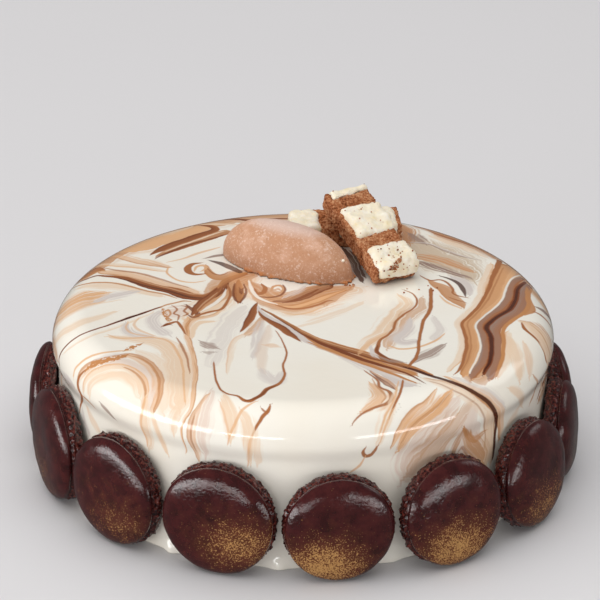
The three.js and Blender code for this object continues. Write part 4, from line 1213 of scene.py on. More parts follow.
def lay_streaks(tree, under, number, wobble, drift, grain):
    """Lays one layer of streaks over the colour so far and returns the new colour."""
    place = add_node(tree, "Attribute", {"attribute_name": f"streak_{number}_place"})
    left, core, right = [
        add_node(tree, "Attribute", {"attribute_name": f"streak_{number}_{side}"})
        for side in SIDES]
    split = add_node(tree, "SeparateXYZ", inputs={0: place.outputs["Color"]})
    half = split.outputs["Z"]
    # The run wavers by a share of its half width
    sway = add_node(tree, "Math", MULTIPLY_ADD, {0: half, 1: 0.14, 2: 0.2})
    across = add_node(tree, "Math", MULTIPLY_ADD, {0: wobble, 1: sway, 2: split.outputs["X"]})
    share = add_node(tree, "Math", {"operation": "DIVIDE"}, {0: across, 1: half})
    # Fine lines that run along the streak, strongest in its middle
    slant = add_node(tree, "Math", MULTIPLY_ADD, {0: split.outputs["Y"], 1: 0.02, 2: drift})
    comb = add_node(tree, "Math", MULTIPLY_ADD, {0: across, 1: 0.75, 2: slant})
    lines = add_node(tree, "TexNoise", {"noise_dimensions": "1D"}, {
        "W": comb, "Scale": 1.0, "Detail": 2.5, "Roughness": 0.6})
    ruffle = add_node(tree, "Math", MULTIPLY_ADD, {0: lines, 1: 2.4, 2: -1.2})
    square = add_node(tree, "Math", MULTIPLY, {0: share, 1: share})
    rest = add_node(tree, "Math", SUBTRACT, {0: 1.0, 1: square})
    room = add_node(tree, "Math", MAXIMUM, {0: rest, 1: 0.0})
    turned = add_node(tree, "Math", MULTIPLY_ADD, {0: ruffle, 1: room, 2: share})
    to_left = add_node(tree, "MapRange", SOFT_STEP, {0: turned, 1: 0.2, 2: 1.0})
    to_right = add_node(tree, "MapRange", SOFT_STEP, {0: turned, 1: -0.2, 2: -1.0})
    near_left = add_node(tree, "Mix", COLOURS, {
        0: to_left, 6: core.outputs["Color"], 7: left.outputs["Color"]})
    colour = add_node(tree, "Mix", COLOURS, {
        0: to_right, 6: near_left.outputs[2], 7: right.outputs["Color"]})
    left_cover = add_node(tree, "Mix", inputs={
        0: to_left, 2: core.outputs["Alpha"], 3: left.outputs["Alpha"]})
    cover = add_node(tree, "Mix", inputs={0: to_right, 2: left_cover, 3: right.outputs["Alpha"]})
    # The edge is soft over about half a millimetre
    off = add_node(tree, "Math", {"operation": "ABSOLUTE"}, {0: across})
    inside = add_node(tree, "Math", SUBTRACT, {0: half, 1: off})
    edge = add_node(tree, "MapRange", SOFT_STEP, {0: inside, 1: -0.3, 2: 0.25})
    # Cover above one tells how much of a brushed streak is missing
    above = add_node(tree, "Math", SUBTRACT, {0: cover, 1: 1.0})
    missing = add_node(tree, "Math", MAXIMUM, {0: above, 1: 0.0})
    left_over = add_node(tree, "Math", SUBTRACT, {0: grain, 1: missing})
    specks = add_node(tree, "MapRange", SOFT_STEP, {0: left_over, 1: -0.04, 2: 0.06})
    full = add_node(tree, "Math", {"operation": "MINIMUM"}, {0: cover, 1: 1.0})
    thick = add_node(tree, "Math", MULTIPLY, {0: full, 1: edge})
    shown = add_node(tree, "Math", MULTIPLY, {0: thick, 1: specks})
    over = add_node(tree, "Mix", COLOURS, {0: shown, 6: under, 7: colour.outputs[2]})
    return over.outputs[2]


def glaze_material(cake, layers):
    """Gelatine mirror glaze, poured. Wet gloss over ivory, with caramel and chocolate drawn into threads, and
    dark streaks of painted shade by the quenelle and between it and the front bar.
    """
    material, tree = new_material("mirror_glaze_poured")
    spot = add_node(tree, "TexCoord").outputs["Object"]
    wide = add_node(tree, "TexNoise", inputs={
        "Vector": spot, "Scale": 1 / (9 * MM), "Detail": 3.0, "Roughness": 0.55})
    wobble = add_node(tree, "Math", MULTIPLY_ADD, {0: wide, 1: 4.0, 2: -2.0})
    slow = add_node(tree, "TexNoise", inputs={"Vector": spot, "Scale": 1 / (24 * MM)})
    drift = add_node(tree, "Math", MULTIPLY, {0: slow, 1: 4.0})
    speck = add_node(tree, "TexNoise", inputs={
        "Vector": spot, "Scale": 1 / (1.5 * MM), "Detail": 2.0, "Roughness": 0.6})
    clouding = add_node(tree, "TexNoise", inputs={"Vector": spot, "Scale": 1 / (42 * MM), "Detail": 2.0})
    warmth = add_node(tree, "MapRange", SOFT_STEP, {0: clouding, 1: 0.35, 2: 0.7, 3: 0.0, 4: 0.5})
    ground = add_node(tree, "Mix", COLOURS, {0: warmth, 6: (*cake.ivory, 1.0), 7: linear("#f1e7d6")})
    colour = ground.outputs[2]
    for number in range(layers):
        colour = lay_streaks(tree, colour, number, wobble, drift, speck)
    ripple = add_node(tree, "TexNoise", inputs={
        "Vector": spot, "Scale": 1 / (3.2 * MM), "Detail": 4.0, "Roughness": 0.62})
    bump = add_node(tree, "Bump", inputs={"Strength": 0.4, "Distance": 0.15 * MM, "Height": ripple})
    shader = add_node(tree, "BsdfPrincipled", inputs={
        "Base Color": colour, "Roughness": 0.16, "IOR": 1.45, "Coat Weight": 0.6, "Coat Roughness": 0.03,
        "Normal": bump})
    close_material(tree, shader)
    return material


def set_drips(piece, cake):
    """Set glaze bulges out at the foot between the shells, and the foot line is ragged."""
    points = points_of(piece)
    angles = [place[0] % 360 for place in shell_places()]
    angles.sort()
    seams = []
    for i, angle in enumerate(angles):
        following = angles[(i + 1) % len(angles)]
        seams.append((angle + ((following - angle) % 360) / 2) % 360)
    around = np.degrees(np.arctan2(points[:, 1], points[:, 0])) % 360
    radius = np.hypot(points[:, 0], points[:, 1])
    low = smooth_step(-points[:, 2], -cake.drip_height * 1.5, -cake.drip_height * 0.3)
    low *= smooth_step(radius, cake.foot_radius - 2 * MM, cake.foot_radius)
    bulge = np.zeros(len(points))
    rng = random.Random(5)
    drip_degrees = 2.6
    for seam in seams:
        away = (around - seam + 180) % 360 - 180
        bulge = np.maximum(bulge, rng.uniform(0.75, 1.0) * np.exp(-(away / drip_degrees) ** 2))
    # Two ripples of different length make the line uneven
    ragged = 0.12 * np.sin(np.radians(around) * 47) + 0.1 * np.sin(np.radians(around) * 83 + 1)
    push = cake.drip_reach * low * np.clip(bulge + ragged * bulge, 0, 1.1)
    ratio = 1 + push / np.maximum(radius, 1e-9)
    points[:, :2] *= ratio[:, None]
    set_points(piece, points)


class CAKE_OT_glaze(bpy.types.Operator):
    """Glazed cake with its marbling"""

    bl_idname = "cake.glaze"
    bl_label = "Glazed cake"

    def execute(self, context):
        cake = context.scene.cake_settings
        piece = spun_profile("glazed_cake", cake_profile(cake), axis=UP, steps=512)
        layers = paint_marbling(piece, cake)
        set_drips(piece, cake)
        finish_piece(piece, glaze_material(cake, layers), "glaze", "cake")
        return {"FINISHED"}


# Macaron shells


def macaron_material(macaron):
    """Baked chocolate meringue. Satin dark dome, crumbly shiny foot, bronze powder brushed on."""
    material, tree = new_material("macaron_meringue_baked")
    spot = add_node(tree, "TexCoord").outputs["Object"]
    dust = add_node(tree, "Attribute", {"attribute_name": "dust"})
    foot = add_node(tree, "Attribute", {"attribute_name": "foot"})
    blotch = add_node(tree, "TexNoise", inputs={
        "Vector": spot, "Scale": 1 / (5 * MM), "Detail": 4.0, "Roughness": 0.6})
    tint = add_node(tree, "ValToRGB", {"stops": (
        (0.3, linear("#2a0d0d")), (0.5, (*macaron.dome_colour, 1.0)), (0.7, linear("#481c1b")))}, {0: blotch})
    crumb = add_node(tree, "TexNoise", inputs={
        "Vector": spot, "Scale": 1 / (1.1 * MM), "Detail": 3.0, "Roughness": 0.6})
    crumbs = add_node(tree, "ValToRGB", {"stops": (
        (0.34, linear("#1b0909")), (0.5, linear("#3f1715")), (0.68, linear("#74382f")))}, {0: crumb})
    dark = add_node(tree, "Mix", COLOURS, {0: foot.outputs["Fac"], 6: tint, 7: crumbs})
    grains = add_node(tree, "TexNoise", inputs={
        "Vector": spot, "Scale": 1 / (0.5 * MM), "Detail": 1.0, "Roughness": 0.6})
    patch = add_node(tree, "TexNoise", inputs={"Vector": spot, "Scale": 1 / (4 * MM), "Detail": 3.0})
    uneven = add_node(tree, "Math", MULTIPLY_ADD, {0: patch, 1: 0.7, 2: -0.35})
    amount = add_node(tree, "Math", {"operation": "ADD"}, {0: dust.outputs["Fac"], 1: uneven})
    sparkle = add_node(tree, "Math", MULTIPLY_ADD, {0: grains, 1: 2.4, 2: amount})
    mask = add_node(tree, "MapRange", inputs={0: sparkle, 1: 1.84, 2: 2.36, 3: 0.0, 4: 0.95})
    film = add_node(tree, "MapRange", inputs={0: amount, 1: 0.1, 2: 0.8, 3: 0.0, 4: 0.7})
    filmed = add_node(tree, "Mix", COLOURS, {0: film, 6: dark.outputs[2], 7: linear("#6b3c26")})
    colour = add_node(tree, "Mix", COLOURS, {0: mask, 6: filmed.outputs[2], 7: (*macaron.dust_colour, 1.0)})
    shine = add_node(tree, "MapRange", inputs={0: mask, 3: 0.0, 4: 0.35})
    dome_rough = add_node(tree, "MapRange", inputs={0: grains, 1: 0.35, 2: 0.65, 3: 0.09, 4: 0.17})
    pores = add_node(tree, "TexNoise", inputs={
        "Vector": spot, "Scale": 1 / (1.0 * MM), "Detail": 3.0, "Roughness": 0.6})
    bump = add_node(tree, "Bump", inputs={"Strength": 0.8, "Distance": 0.16 * MM, "Height": pores})
    shader = add_node(tree, "BsdfPrincipled", inputs={
        "Base Color": colour.outputs[2], "Metallic": shine, "Roughness": dome_rough,
        "Specular IOR Level": 0.6, "Normal": bump})
    close_material(tree, shader)
    return material


def shell_profile(macaron, radius):
    """Half outline of a shell, (depth, radius), from the middle of its back to the middle of its dome."""
    foot = macaron.foot_depth
    foot_steps = 12
    dome_base = foot + macaron.crease
    dome_steps = 16
    fullness = 0.6
    profile = [(0, 0), (0, radius * 0.5), (0, radius - 0.8 * MM), (0.2 * MM, radius - 0.4 * MM)]
    # The foot bulges a little
    for i in range(foot_steps + 1):
        t = i / foot_steps
        depth = 0.6 * MM + t * (foot - macaron.crease - 0.5 * MM)
        profile.append((depth, radius - 0.15 * MM + 0.25 * MM * math.sin(math.pi * t)))
    # The crease
    profile.append((foot - 0.35 * MM, radius - 0.6 * macaron.crease))
    profile.append((foot, radius - macaron.crease))
    profile.append((foot + 0.3 * MM, radius - 0.9 * macaron.crease))
    profile.append((foot + 0.6 * MM, radius - 0.4 * macaron.crease))
    # The dome
    for i in range(dome_steps):
        turn = math.pi / 2 * i / dome_steps
        reach = (radius - 0.1 * MM) * math.cos(turn) ** fullness
        profile.append((dome_base + (macaron.depth - dome_base) * math.sin(turn), reach))
    profile.append((macaron.depth, 0))
    return profile


def place_shell(place, macaron, cake):
    """Matrix that stands a shell on the floor with its back to the wall."""
    angle, radius, lean, standoff = place
    lean = math.radians(lean)
    radius *= MM
    rises = []
    for depth, reach in shell_profile(macaron, radius):
        rises.append(reach * math.cos(lean) - depth * math.sin(lean))
    back = cake.wall_radius + standoff * MM + radius * math.sin(lean)
    spoke = Matrix.Rotation(math.radians(angle), 4, "Z")
    return spoke @ Matrix.Translation((back, 0, max(rises))) @ Matrix.Rotation(-lean, 4, "Y")


def shell_finish(points, radius, dusting, macaron):
    """How much each corner of a shell belongs to its foot, and how much bronze powder lies on it."""
    across = points[:, 1] / radius
    up = points[:, 2] / radius
    depth = points[:, 0]
    foot = smooth_step(-depth, -macaron.foot_depth - 0.5 * MM, -macaron.foot_depth + 0.8 * MM)
    foot *= smooth_step(np.hypot(across, up), 0.9, 0.95)
    dust_across, dust_up, amount = dusting
    away = np.hypot((across - dust_across) / 0.8, (up - dust_up) / 0.55)
    dust = (0.02 + amount * np.exp(-away ** 2)) * (depth > macaron.foot_depth + 0.5 * MM)
    return foot, dust


class CAKE_OT_macarons(bpy.types.Operator):
    """Ring of macaron shells, modelled once and copied"""

    bl_idname = "cake.macarons"
    bl_label = "Macaron shells"

    def execute(self, context):
        macaron = context.scene.macaron_settings
        cake = context.scene.cake_settings
        pattern_radius = 19 * MM
        profile = shell_profile(macaron, pattern_radius)
        model = spun_profile("shell_model", profile, axis=(1, 0, 0), steps=216)
        base = points_of(model)
        material = macaron_material(macaron)
        rng = random.Random(12)
        for number, place in enumerate(shell_places(), start=1):
            piece = bpy.data.objects.new(f"macaron_shell_{number:02d}", model.data.copy())
            context.scene.collection.objects.link(piece)
            radius = place[1] * MM
            points = base.copy()
            points[:, 1:] *= radius / pattern_radius
            default = (rng.uniform(-0.4, 0.4), rng.uniform(-0.6, -0.3), rng.uniform(0.3, 0.6))
            foot, dust = shell_finish(points, radius, DUSTING.get(number, default), macaron)
            dome = (points[:, 0] > macaron.foot_depth + 0.9 * MM).astype(float)
            matrix = place_shell(place, macaron, cake)
            set_points(piece, points @ np.array(matrix.to_3x3()).T + np.array(matrix.translation))
            set_attribute(piece, "dust", "FLOAT", dust)
            set_attribute(piece, "foot", "FLOAT", foot)
            set_group(piece, "foot", foot)
            set_group(piece, "dome", dome)
            roughen(piece, "CLOUDS", size=1.5 * MM, strength=1.9 * MM, group="foot", depth=3)
            roughen(piece, "VORONOI", size=1.0 * MM, strength=1.0 * MM, group="foot")
            roughen(piece, "CLOUDS", size=9 * MM, strength=0.5 * MM, group="dome", depth=1)
            piece.vertex_groups.clear()
            points = points_of(piece)
            points[:, 2] = np.maximum(points[:, 2], 0)
            set_points(piece, points)
            finish_piece(piece, material, "macaron", f"macaron_{number:02d}")
        bpy.data.objects.remove(model)
        return {"FINISHED"}


# Quenelle


def quenelle_material(quenelle):
    """Milk chocolate mousse, moulded and frosted. Matte tan with fine frost, tiny pits darkened by painted
    shade, a painted highlight on its top and painted shade towards its foot.
    """
    material, tree = new_material("chocolate_mousse_frosted")
    spot = add_node(tree, "TexCoord").outputs["Object"]
    crest = add_node(tree, "Attribute", {"attribute_name": "crest"})
    low = add_node(tree, "Attribute", {"attribute_name": "low"})
    flange = add_node(tree, "Attribute", {"attribute_name": "flange"})
    broad = add_node(tree, "TexNoise", inputs={
        "Vector": spot, "Scale": 1 / (8 * MM), "Detail": 3.0, "Roughness": 0.55})
    body = add_node(tree, "ValToRGB", {"stops": (
        (0.3, linear("#c28f6e")), (0.5, (*quenelle.mousse, 1.0)), (0.7, linear("#d3a78d")))}, {0: broad})
    # Painted shade: darker towards the foot, by the low attribute
    painted_low_shade = add_node(tree, "Mix", COLOURS, {0: low.outputs["Fac"], 6: body, 7: linear("#a97757")})
    # Painted highlight: paler towards the top of the oval
    rim = add_node(tree, "Mix", COLOURS, {
        0: crest.outputs["Fac"], 6: painted_low_shade.outputs[2], 7: linear("#dcc2b6")})
    fine = add_node(tree, "TexNoise", inputs={
        "Vector": spot, "Scale": 1 / (0.8 * MM), "Detail": 3.0, "Roughness": 0.7})
    where = add_node(tree, "TexNoise", inputs={"Vector": spot, "Scale": 1 / (6 * MM), "Detail": 2.0})
    frost = add_node(tree, "Math", MULTIPLY_ADD, {0: where, 1: 0.2, 2: fine})
    specks = add_node(tree, "MapRange", inputs={0: frost, 1: 0.63, 2: 0.84, 3: 0.0, 4: 0.75})
    frosted = add_node(tree, "Mix", COLOURS, {0: specks, 6: rim.outputs[2], 7: (*quenelle.bloom, 1.0)})
    # Painted shade: darker dots where the bump is lowest, in the pits
    painted_pit_shade = add_node(tree, "MapRange", inputs={0: fine, 1: 0.36, 2: 0.26, 3: 0.0, 4: 0.6})
    pit_shaded = add_node(tree, "Mix", COLOURS, {0: painted_pit_shade, 6: frosted.outputs[2], 7: linear("#8d5a3c")})
    colour = add_node(tree, "Mix", COLOURS, {
        0: flange.outputs["Fac"], 6: pit_shaded.outputs[2], 7: linear("#b57242")})
    bump = add_node(tree, "Bump", inputs={"Strength": 0.5, "Distance": 0.12 * MM, "Height": fine})
    shader = add_node(tree, "BsdfPrincipled", inputs={
        "Base Color": colour.outputs[2], "Roughness": 0.7, "IOR": 1.4, "Sheen Weight": 0.12,
        "Sheen Roughness": 0.5, "Normal": bump})
    close_material(tree, shader)
    return material


def quenelle_oval(ball, quenelle):
    """A unit ball drawn out into an oval that is flat underneath and blunter at its left end."""
    along = np.clip(ball[:, 2], -1, 1)
    around = np.arctan2(ball[:, 0], ball[:, 1])
    end = np.where(along < 0, LEFT_END, RIGHT_END)
    spread = np.clip(1 - np.abs(along) ** end, 0, 1) ** 0.6
    lift = np.clip(1 - np.abs(along) ** (1.15 * end), 0, 1) ** 0.5
    rise = np.maximum(0, np.sin(around))
    points = np.empty_like(ball)
    points[:, 0] = quenelle.length / 2 * along
    points[:, 1] = quenelle.width / 2 * spread * np.cos(around)
    points[:, 2] = quenelle.height * lift * rise
    return points


def tear_flange(piece, middle, foot):
    """Draws the front of the lower edge out into a ragged flange and says how far each corner went."""
    points = points_of(piece)
    outward = points[:, :2] - middle
    reach = np.linalg.norm(outward, axis=1)
    outward /= np.maximum(reach, 1e-9)[:, None]
    ragged = np.array([noise.noise(Vector(point) / (1.4 * MM)) for point in points])
    low = smooth_step(foot - points[:, 2], -1.3 * MM, -0.3 * MM)
    front = smooth_step(-outward[:, 1], -0.2, 0.4) * (reach > 6 * MM)
    push = np.clip(low * front * (0.3 + 2.2 * ragged) * MM, 0, 1.8 * MM)
    points[:, :2] += outward * push[:, None]
    set_points(piece, points)
    return push


class CAKE_OT_quenelle(bpy.types.Operator):
    """Mousse quenelle with its ragged lower edge"""

    bl_idname = "cake.quenelle"
    bl_label = "Quenelle"

    def execute(self, context):
        quenelle = context.scene.quenelle_settings
        deselect_all()
        bpy.ops.mesh.primitive_uv_sphere_add(segments=144, ring_count=120, radius=1, rotation=(0, 0, 0))
        piece = context.object
        piece.name = "mousse_quenelle"
        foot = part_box("quenelle")[0][2]
        middle = np.array(QUENELLE_MIDDLE) * MM
        turn = Matrix.Rotation(math.radians(QUENELLE_TURN), 3, "Z")
        oval = quenelle_oval(points_of(piece), quenelle)
        set_points(piece, oval @ np.array(turn).T + np.array((*middle, foot)))
        merge_corners(piece, threshold=2e-6)
        bpy.ops.object.shade_smooth()
        set_group(piece, "skin", smooth_step(points_of(piece)[:, 2] - foot, 0.3 * MM, 2 * MM))
        roughen(piece, "CLOUDS", size=12 * MM, strength=0.5 * MM, group="skin", depth=1)
        roughen(piece, "CLOUDS", size=1.6 * MM, strength=0.12 * MM, group="skin")
        piece.vertex_groups.clear()
        push = tear_flange(piece, middle, foot)
        height = points_of(piece)[:, 2] - foot
        # Painted highlight towards the top and painted shade towards the foot, handed to the material as
        # attributes
        crest = smooth_step(height, 0.82 * quenelle.height, quenelle.height)
        set_attribute(piece, "crest", "FLOAT", 0.75 * crest)
        set_attribute(piece, "low", "FLOAT", 0.85 * smooth_step(-height, -0.5 * quenelle.height, 0))
        set_attribute(piece, "flange", "FLOAT", smooth_step(push, 0.2 * MM, 0.6 * MM))
        finish_piece(piece, quenelle_material(quenelle), "mousse", "quenelle")
        return {"FINISHED"}


# Layered bars


def sponge_material(bars):
    """Cocoa sponge, baked and cut. Dry open crumb, with painted shade in its pores."""
    material, tree = new_material("cocoa_sponge_cut")
    spot = add_node(tree, "TexCoord").outputs["Object"]
    crumb = add_node(tree, "TexNoise", inputs={
        "Vector": spot, "Scale": 1 / (0.9 * MM), "Detail": 4.0, "Roughness": 0.65})
    broad = add_node(tree, "TexNoise", inputs={"Vector": spot, "Scale": 1 / (5 * MM), "Detail": 2.0})
    blend = add_node(tree, "Math", MULTIPLY_ADD, {0: broad, 1: 0.5, 2: crumb})
    # The darkest stop is painted shade in the pores, where the crumb bump is lowest
    stops = (
        (0.52, linear("#3a1a0c")),
        (0.63, linear("#804726")),
        (0.73, (*bars.sponge, 1.0)),
        (0.92, linear("#cb9870")),
    )
    colour = add_node(tree, "ValToRGB", {"stops": stops}, {0: blend})
    bump = add_node(tree, "Bump", inputs={"Strength": 0.8, "Distance": 0.3 * MM, "Height": crumb})
    shader = add_node(tree, "BsdfPrincipled", inputs={
        "Base Color": colour, "Roughness": 0.9, "IOR": 1.4, "Normal": bump})
    close_material(tree, shader)
    return material


def cream_material(bars):
    """Whipped vanilla cream, set and cut. Soft satin with fine drag marks, and yellower patches of painted
    shade laid at random.
    """
    material, tree = new_material("vanilla_cream_set")
    spot = add_node(tree, "TexCoord").outputs["Object"]
    broad = add_node(tree, "TexNoise", inputs={"Vector": spot, "Scale": 1 / (4 * MM), "Detail": 3.0})
    # The two yellower low stops are painted shade, laid in random patches
    stops = (
        (0.22, linear("#ead7a6")),
        (0.36, linear("#efe2c6")),
        (0.5, (*bars.cream, 1.0)),
        (0.75, linear("#f9f3e6")),
    )
    colour = add_node(tree, "ValToRGB", {"stops": stops}, {0: broad})
    drag = add_node(tree, "TexNoise", inputs={"Vector": spot, "Scale": 1 / (1.1 * MM), "Detail": 2.0})
    bump = add_node(tree, "Bump", inputs={"Strength": 0.4, "Distance": 0.2 * MM, "Height": drag})
    shader = add_node(tree, "BsdfPrincipled", inputs={
        "Base Color": colour, "Roughness": 0.5, "IOR": 1.42, "Subsurface Weight": 0.15,
        "Subsurface Radius": (1.0, 0.8, 0.5), "Subsurface Scale": 1.0 * MM, "Normal": bump})
    close_material(tree, shader)
    return material


def copy_of_node(node, name):
    """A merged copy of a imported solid, to be worked on."""
    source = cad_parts[node]
    piece = bpy.data.objects.new(name, source.data.copy())
    bpy.context.scene.collection.objects.link(piece)
    merge_corners(piece, outward=False)
    return piece


class CAKE_OT_bars(bpy.types.Operator):
    """Two layered bars: porous sponge and soft cream worked up from their solids"""

    bl_idname = "cake.bars"
    bl_label = "Layered bars"

    def execute(self, context):
        bars = context.scene.bar_settings
        sponge = sponge_material(bars)
        cream = cream_material(bars)
        for node in ("front_bar_sponge", "rear_bar_sponge"):
            piece = copy_of_node(node, node.replace("_bar_", "_layered_"))
            apply_modifier(piece, "REMESH", mode="VOXEL", voxel_size=bars.voxel)
            apply_modifier(piece, "SMOOTH", factor=0.5, iterations=8)
            roughen(piece, "CLOUDS", size=3 * MM, strength=1.2 * MM, depth=3)
            roughen(piece, "VORONOI", size=0.8 * MM, strength=0.7 * MM)
            make_active(piece)
            bpy.ops.object.shade_smooth()
            finish_piece(piece, sponge, "sponge", node)
        for node in sorted(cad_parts):
            if "_bar_cream_" not in node:
                continue
            piece = copy_of_node(node, node.replace("_bar_", "_layered_"))
            apply_modifier(piece, "REMESH", mode="VOXEL", voxel_size=bars.voxel)
            swell = bars.cap_swell if node.endswith("_cap") else bars.swell
            apply_modifier(piece, "DISPLACE", strength=swell, mid_level=0)
            apply_modifier(piece, "SMOOTH", factor=0.5, iterations=36)
            roughen(piece, "CLOUDS", size=5 * MM, strength=2.0 * MM)
            roughen(piece, "CLOUDS", size=1.3 * MM, strength=0.4 * MM)
            make_active(piece)
            bpy.ops.object.shade_smooth()
            finish_piece(piece, cream, "cream", node)
        return {"FINISHED"}


# Crumbs


def spots_on(piece, count, size, rng):
    """Places for crumbs on the sides of a piece that show, each with the way up there and a size."""
    facing = 0.35
    shown = [face for face in piece.data.polygons if face.normal.dot(SHOWN_SIDE) > facing]
    picked = rng.choices(shown, weights=[face.area for face in shown], k=count)
    return [(face.center.copy(), face.normal.copy(), size * rng.uniform(0.5, 1.3)) for face in picked]


def scatter_crumbs(name, spots, rng):
    """One mesh of rough crumbs, each sunk a little into what carries it."""
    deselect_all()
    bpy.ops.mesh.primitive_ico_sphere_add(subdivisions=1, radius=0.5, location=(0, 0, 0))
    model = bpy.context.object
    base = points_of(model)
    faces = [tuple(face.vertices) for face in model.data.polygons]
    bpy.data.objects.remove(model)
    points = []
    joined = []
    for spot, normal, size in spots:
        turn = Euler([rng.uniform(0, TURN) for axis in range(3)]).to_matrix()
        stretch = size * np.array([rng.uniform(0.6, 1.3) for axis in range(3)])
        joined.extend(tuple(corner + len(points) for corner in face) for face in faces)
        points.extend((base * stretch) @ np.array(turn).T + np.array(spot + 0.25 * size * normal))
    mesh = bpy.data.meshes.new(name)
    mesh.from_pydata(points, [], joined)
    piece = bpy.data.objects.new(name, mesh)
    bpy.context.scene.collection.objects.link(piece)
    return piece


class CAKE_OT_crumbs(bpy.types.Operator):
    """Cocoa crumbs on the cream and by the foot of the bar and the quenelle, and one pale fleck"""

    bl_idname = "cake.crumbs"
    bl_label = "Crumbs"

    def execute(self, context):
        bars = context.scene.bar_settings
        rng = random.Random(8)
        glaze = bpy.data.objects["glazed_cake"]
        bpy.context.view_layer.update()
        spots = []
        for name, count in CREAM_CRUMBS.items():
            spots.extend(spots_on(bpy.data.objects[name], count, bars.crumb, rng))
        foot_cream = bpy.data.objects["front_layered_cream_foot"]
        for i in range(PATCH_CRUMBS):
            share = rng.random() ** PATCH_THINNING
            x = PATCH_START[0] + share * (PATCH_END[0] - PATCH_START[0])
            x += rng.uniform(*PATCH_ACROSS) * (1 - share)
            y = PATCH_START[1] + share * (PATCH_END[1] - PATCH_START[1]) + rng.uniform(*PATCH_DOWN)
            spots.append((spot_behind(foot_cream, x, y), SHOWN_SIDE, bars.crumb * rng.uniform(0.7, 1.7)))
        for x, y in FALLEN_CRUMBS:
            spots.append((spot_behind(glaze, x, y), UP, bars.crumb * rng.uniform(0.8, 1.5)))
        for i in range(FLANGE_CRUMBS):
            share = rng.random()
            x = FLANGE_START[0] + share * (FLANGE_END[0] - FLANGE_START[0])
            y = FLANGE_START[1] + share ** FLANGE_BOW * (FLANGE_END[1] - FLANGE_START[1])
            y += rng.uniform(*FLANGE_DOWN)
            spots.append((spot_behind(glaze, x, y), UP, bars.crumb * rng.uniform(0.8, 1.7)))
        crumbs = scatter_crumbs("cocoa_crumbs", spots, rng)
        finish_piece(crumbs, bpy.data.materials["cocoa_sponge_cut"], "sponge")
        quenelle = bpy.data.objects["mousse_quenelle"]
        fleck_spot = spot_behind(quenelle, *FLECK)
        fleck = scatter_crumbs("pale_fleck", [(fleck_spot, FLECK_SIDE, FLECK_SIZE * MM)], rng)
        finish_piece(fleck, bpy.data.materials["vanilla_cream_set"], "cream")
        return {"FINISHED"}


# Stage


def floor_material(stage):
    """Floor paint, rolled on. Matte pale grey with the faintest mottling."""
    material, tree = new_material("floor_paint_matte")
    spot = add_node(tree, "TexCoord").outputs["Object"]
    mottle = add_node(tree, "TexNoise", inputs={"Vector": spot, "Scale": 9.0, "Detail": 2.0})
    shade = add_node(tree, "MapRange", inputs={0: mottle, 3: 0.0, 4: 0.08})
    colour = add_node(tree, "Mix", COLOURS, {0: shade, 6: (*stage.floor_colour, 1.0), 7: linear("#c9c7c8")})
    shader = add_node(tree, "BsdfPrincipled", inputs={
        "Base Color": colour.outputs[2], "Roughness": 0.9, "Specular IOR Level": 0.1})
    close_material(tree, shader)
    return material


def add_softbox(name, azimuth, elevation, distance, width, height, power):
    """Rectangular soft light at a compass place round the cake, facing it."""
    light = bpy.data.lights.new(name, "AREA")
    light.shape = "RECTANGLE"
    light.size = width
    light.size_y = height
    light.energy = power
    lamp = bpy.data.objects.new(name, light)
    bpy.context.scene.collection.objects.link(lamp)
    around = math.radians(azimuth)
    up = math.radians(elevation)
    away = Vector((math.cos(up) * math.cos(around), math.cos(up) * math.sin(around), math.sin(up)))
    lamp.location = LIT_PLACE + away * distance
    lamp.rotation_euler = away.to_track_quat("Z", "Y").to_euler()
    lamp.visible_camera = False
    return lamp


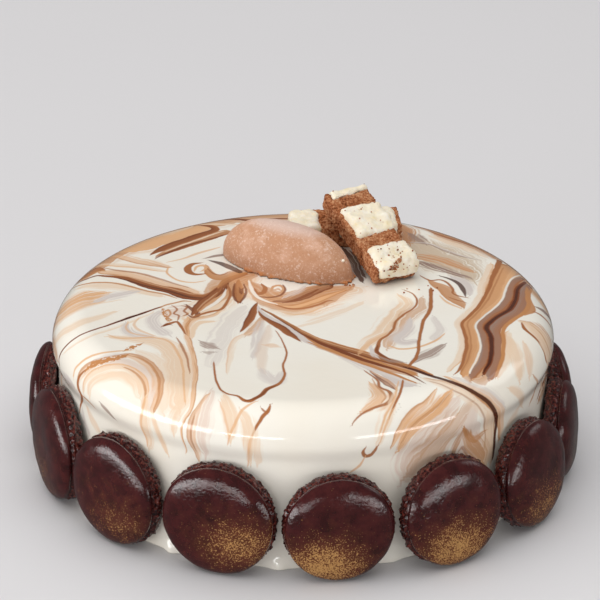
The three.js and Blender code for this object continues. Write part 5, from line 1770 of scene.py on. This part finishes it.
class CAKE_OT_stage(bpy.types.Operator):
    """Pale floor, soft studio light and the camera"""

    bl_idname = "cake.stage"
    bl_label = "Stage"

    def execute(self, context):
        stage = context.scene.stage_settings
        scene = context.scene
        deselect_all()
        bpy.ops.mesh.primitive_plane_add(size=FLOOR_SIZE, location=(0, 0, 0))
        floor = context.object
        floor.name = "floor"
        floor.data.materials.append(floor_material(stage))
        floor.visible_glossy = False
        for name, (azimuth, elevation, distance, width, height) in SOFTBOXES.items():
            power = getattr(stage, f"{name}_power")
            lamp = add_softbox(name, azimuth, elevation, distance, width, height, power)
            lamp.visible_glossy = name not in UNMIRRORED
        world = bpy.data.worlds.new("soft_room")
        world.use_nodes = True
        scene.world = world
        sky = world.node_tree.nodes["Background"]
        sky.inputs["Color"].default_value = linear("#f3f3f3")
        sky.inputs["Strength"].default_value = ROOM_LIGHT
        camera_data = bpy.data.cameras.new("camera")
        camera_data.lens = stage.lens
        camera_data.sensor_width = SENSOR
        camera_data.clip_end = 50
        camera = bpy.data.objects.new("camera", camera_data)
        scene.collection.objects.link(camera)
        camera.location = EYE
        camera.rotation_euler = (AIM - EYE).to_track_quat("-Z", "Y").to_euler()
        scene.camera = camera
        scene.view_settings.view_transform = "Standard"
        return {"FINISHED"}


class CAKE_PT_panel(bpy.types.Panel):
    """Lists the pieces and their settings"""

    bl_idname = "CAKE_PT_panel"
    bl_label = "Glazed cake"
    bl_space_type = "VIEW_3D"
    bl_region_type = "UI"
    bl_category = "Cake"

    def draw(self, context):
        for operator, settings in PANEL_ROWS:
            box = self.layout.box()
            box.operator(operator)
            group = getattr(context.scene, settings)
            for name in group.__annotations__:
                box.prop(group, name)


PANEL_ROWS = (
    ("cake.glaze", "cake_settings"),
    ("cake.macarons", "macaron_settings"),
    ("cake.quenelle", "quenelle_settings"),
    ("cake.bars", "bar_settings"),
    ("cake.crumbs", "bar_settings"),
    ("cake.stage", "stage_settings"),
)
SETTINGS = {
    "cake_settings": CakeSettings,
    "macaron_settings": MacaronSettings,
    "quenelle_settings": QuenelleSettings,
    "bar_settings": BarSettings,
    "stage_settings": StageSettings,
}
CLASSES = (
    *SETTINGS.values(),
    CAKE_OT_glaze,
    CAKE_OT_macarons,
    CAKE_OT_quenelle,
    CAKE_OT_bars,
    CAKE_OT_crumbs,
    CAKE_OT_stage,
    CAKE_PT_panel,
)


def register():
    for cls in CLASSES:
        bpy.utils.register_class(cls)
    for name, cls in SETTINGS.items():
        setattr(bpy.types.Scene, name, bpy.props.PointerProperty(type=cls))


def unregister():
    for name in SETTINGS:
        delattr(bpy.types.Scene, name)
    for cls in reversed(CLASSES):
        bpy.utils.unregister_class(cls)


def main():
    register()
    bpy.ops.cake.stage()
    bpy.ops.cake.glaze()
    bpy.ops.cake.macarons()
    bpy.ops.cake.quenelle()
    bpy.ops.cake.bars()
    bpy.ops.cake.crumbs()


if __name__ == "__main__":
    main()
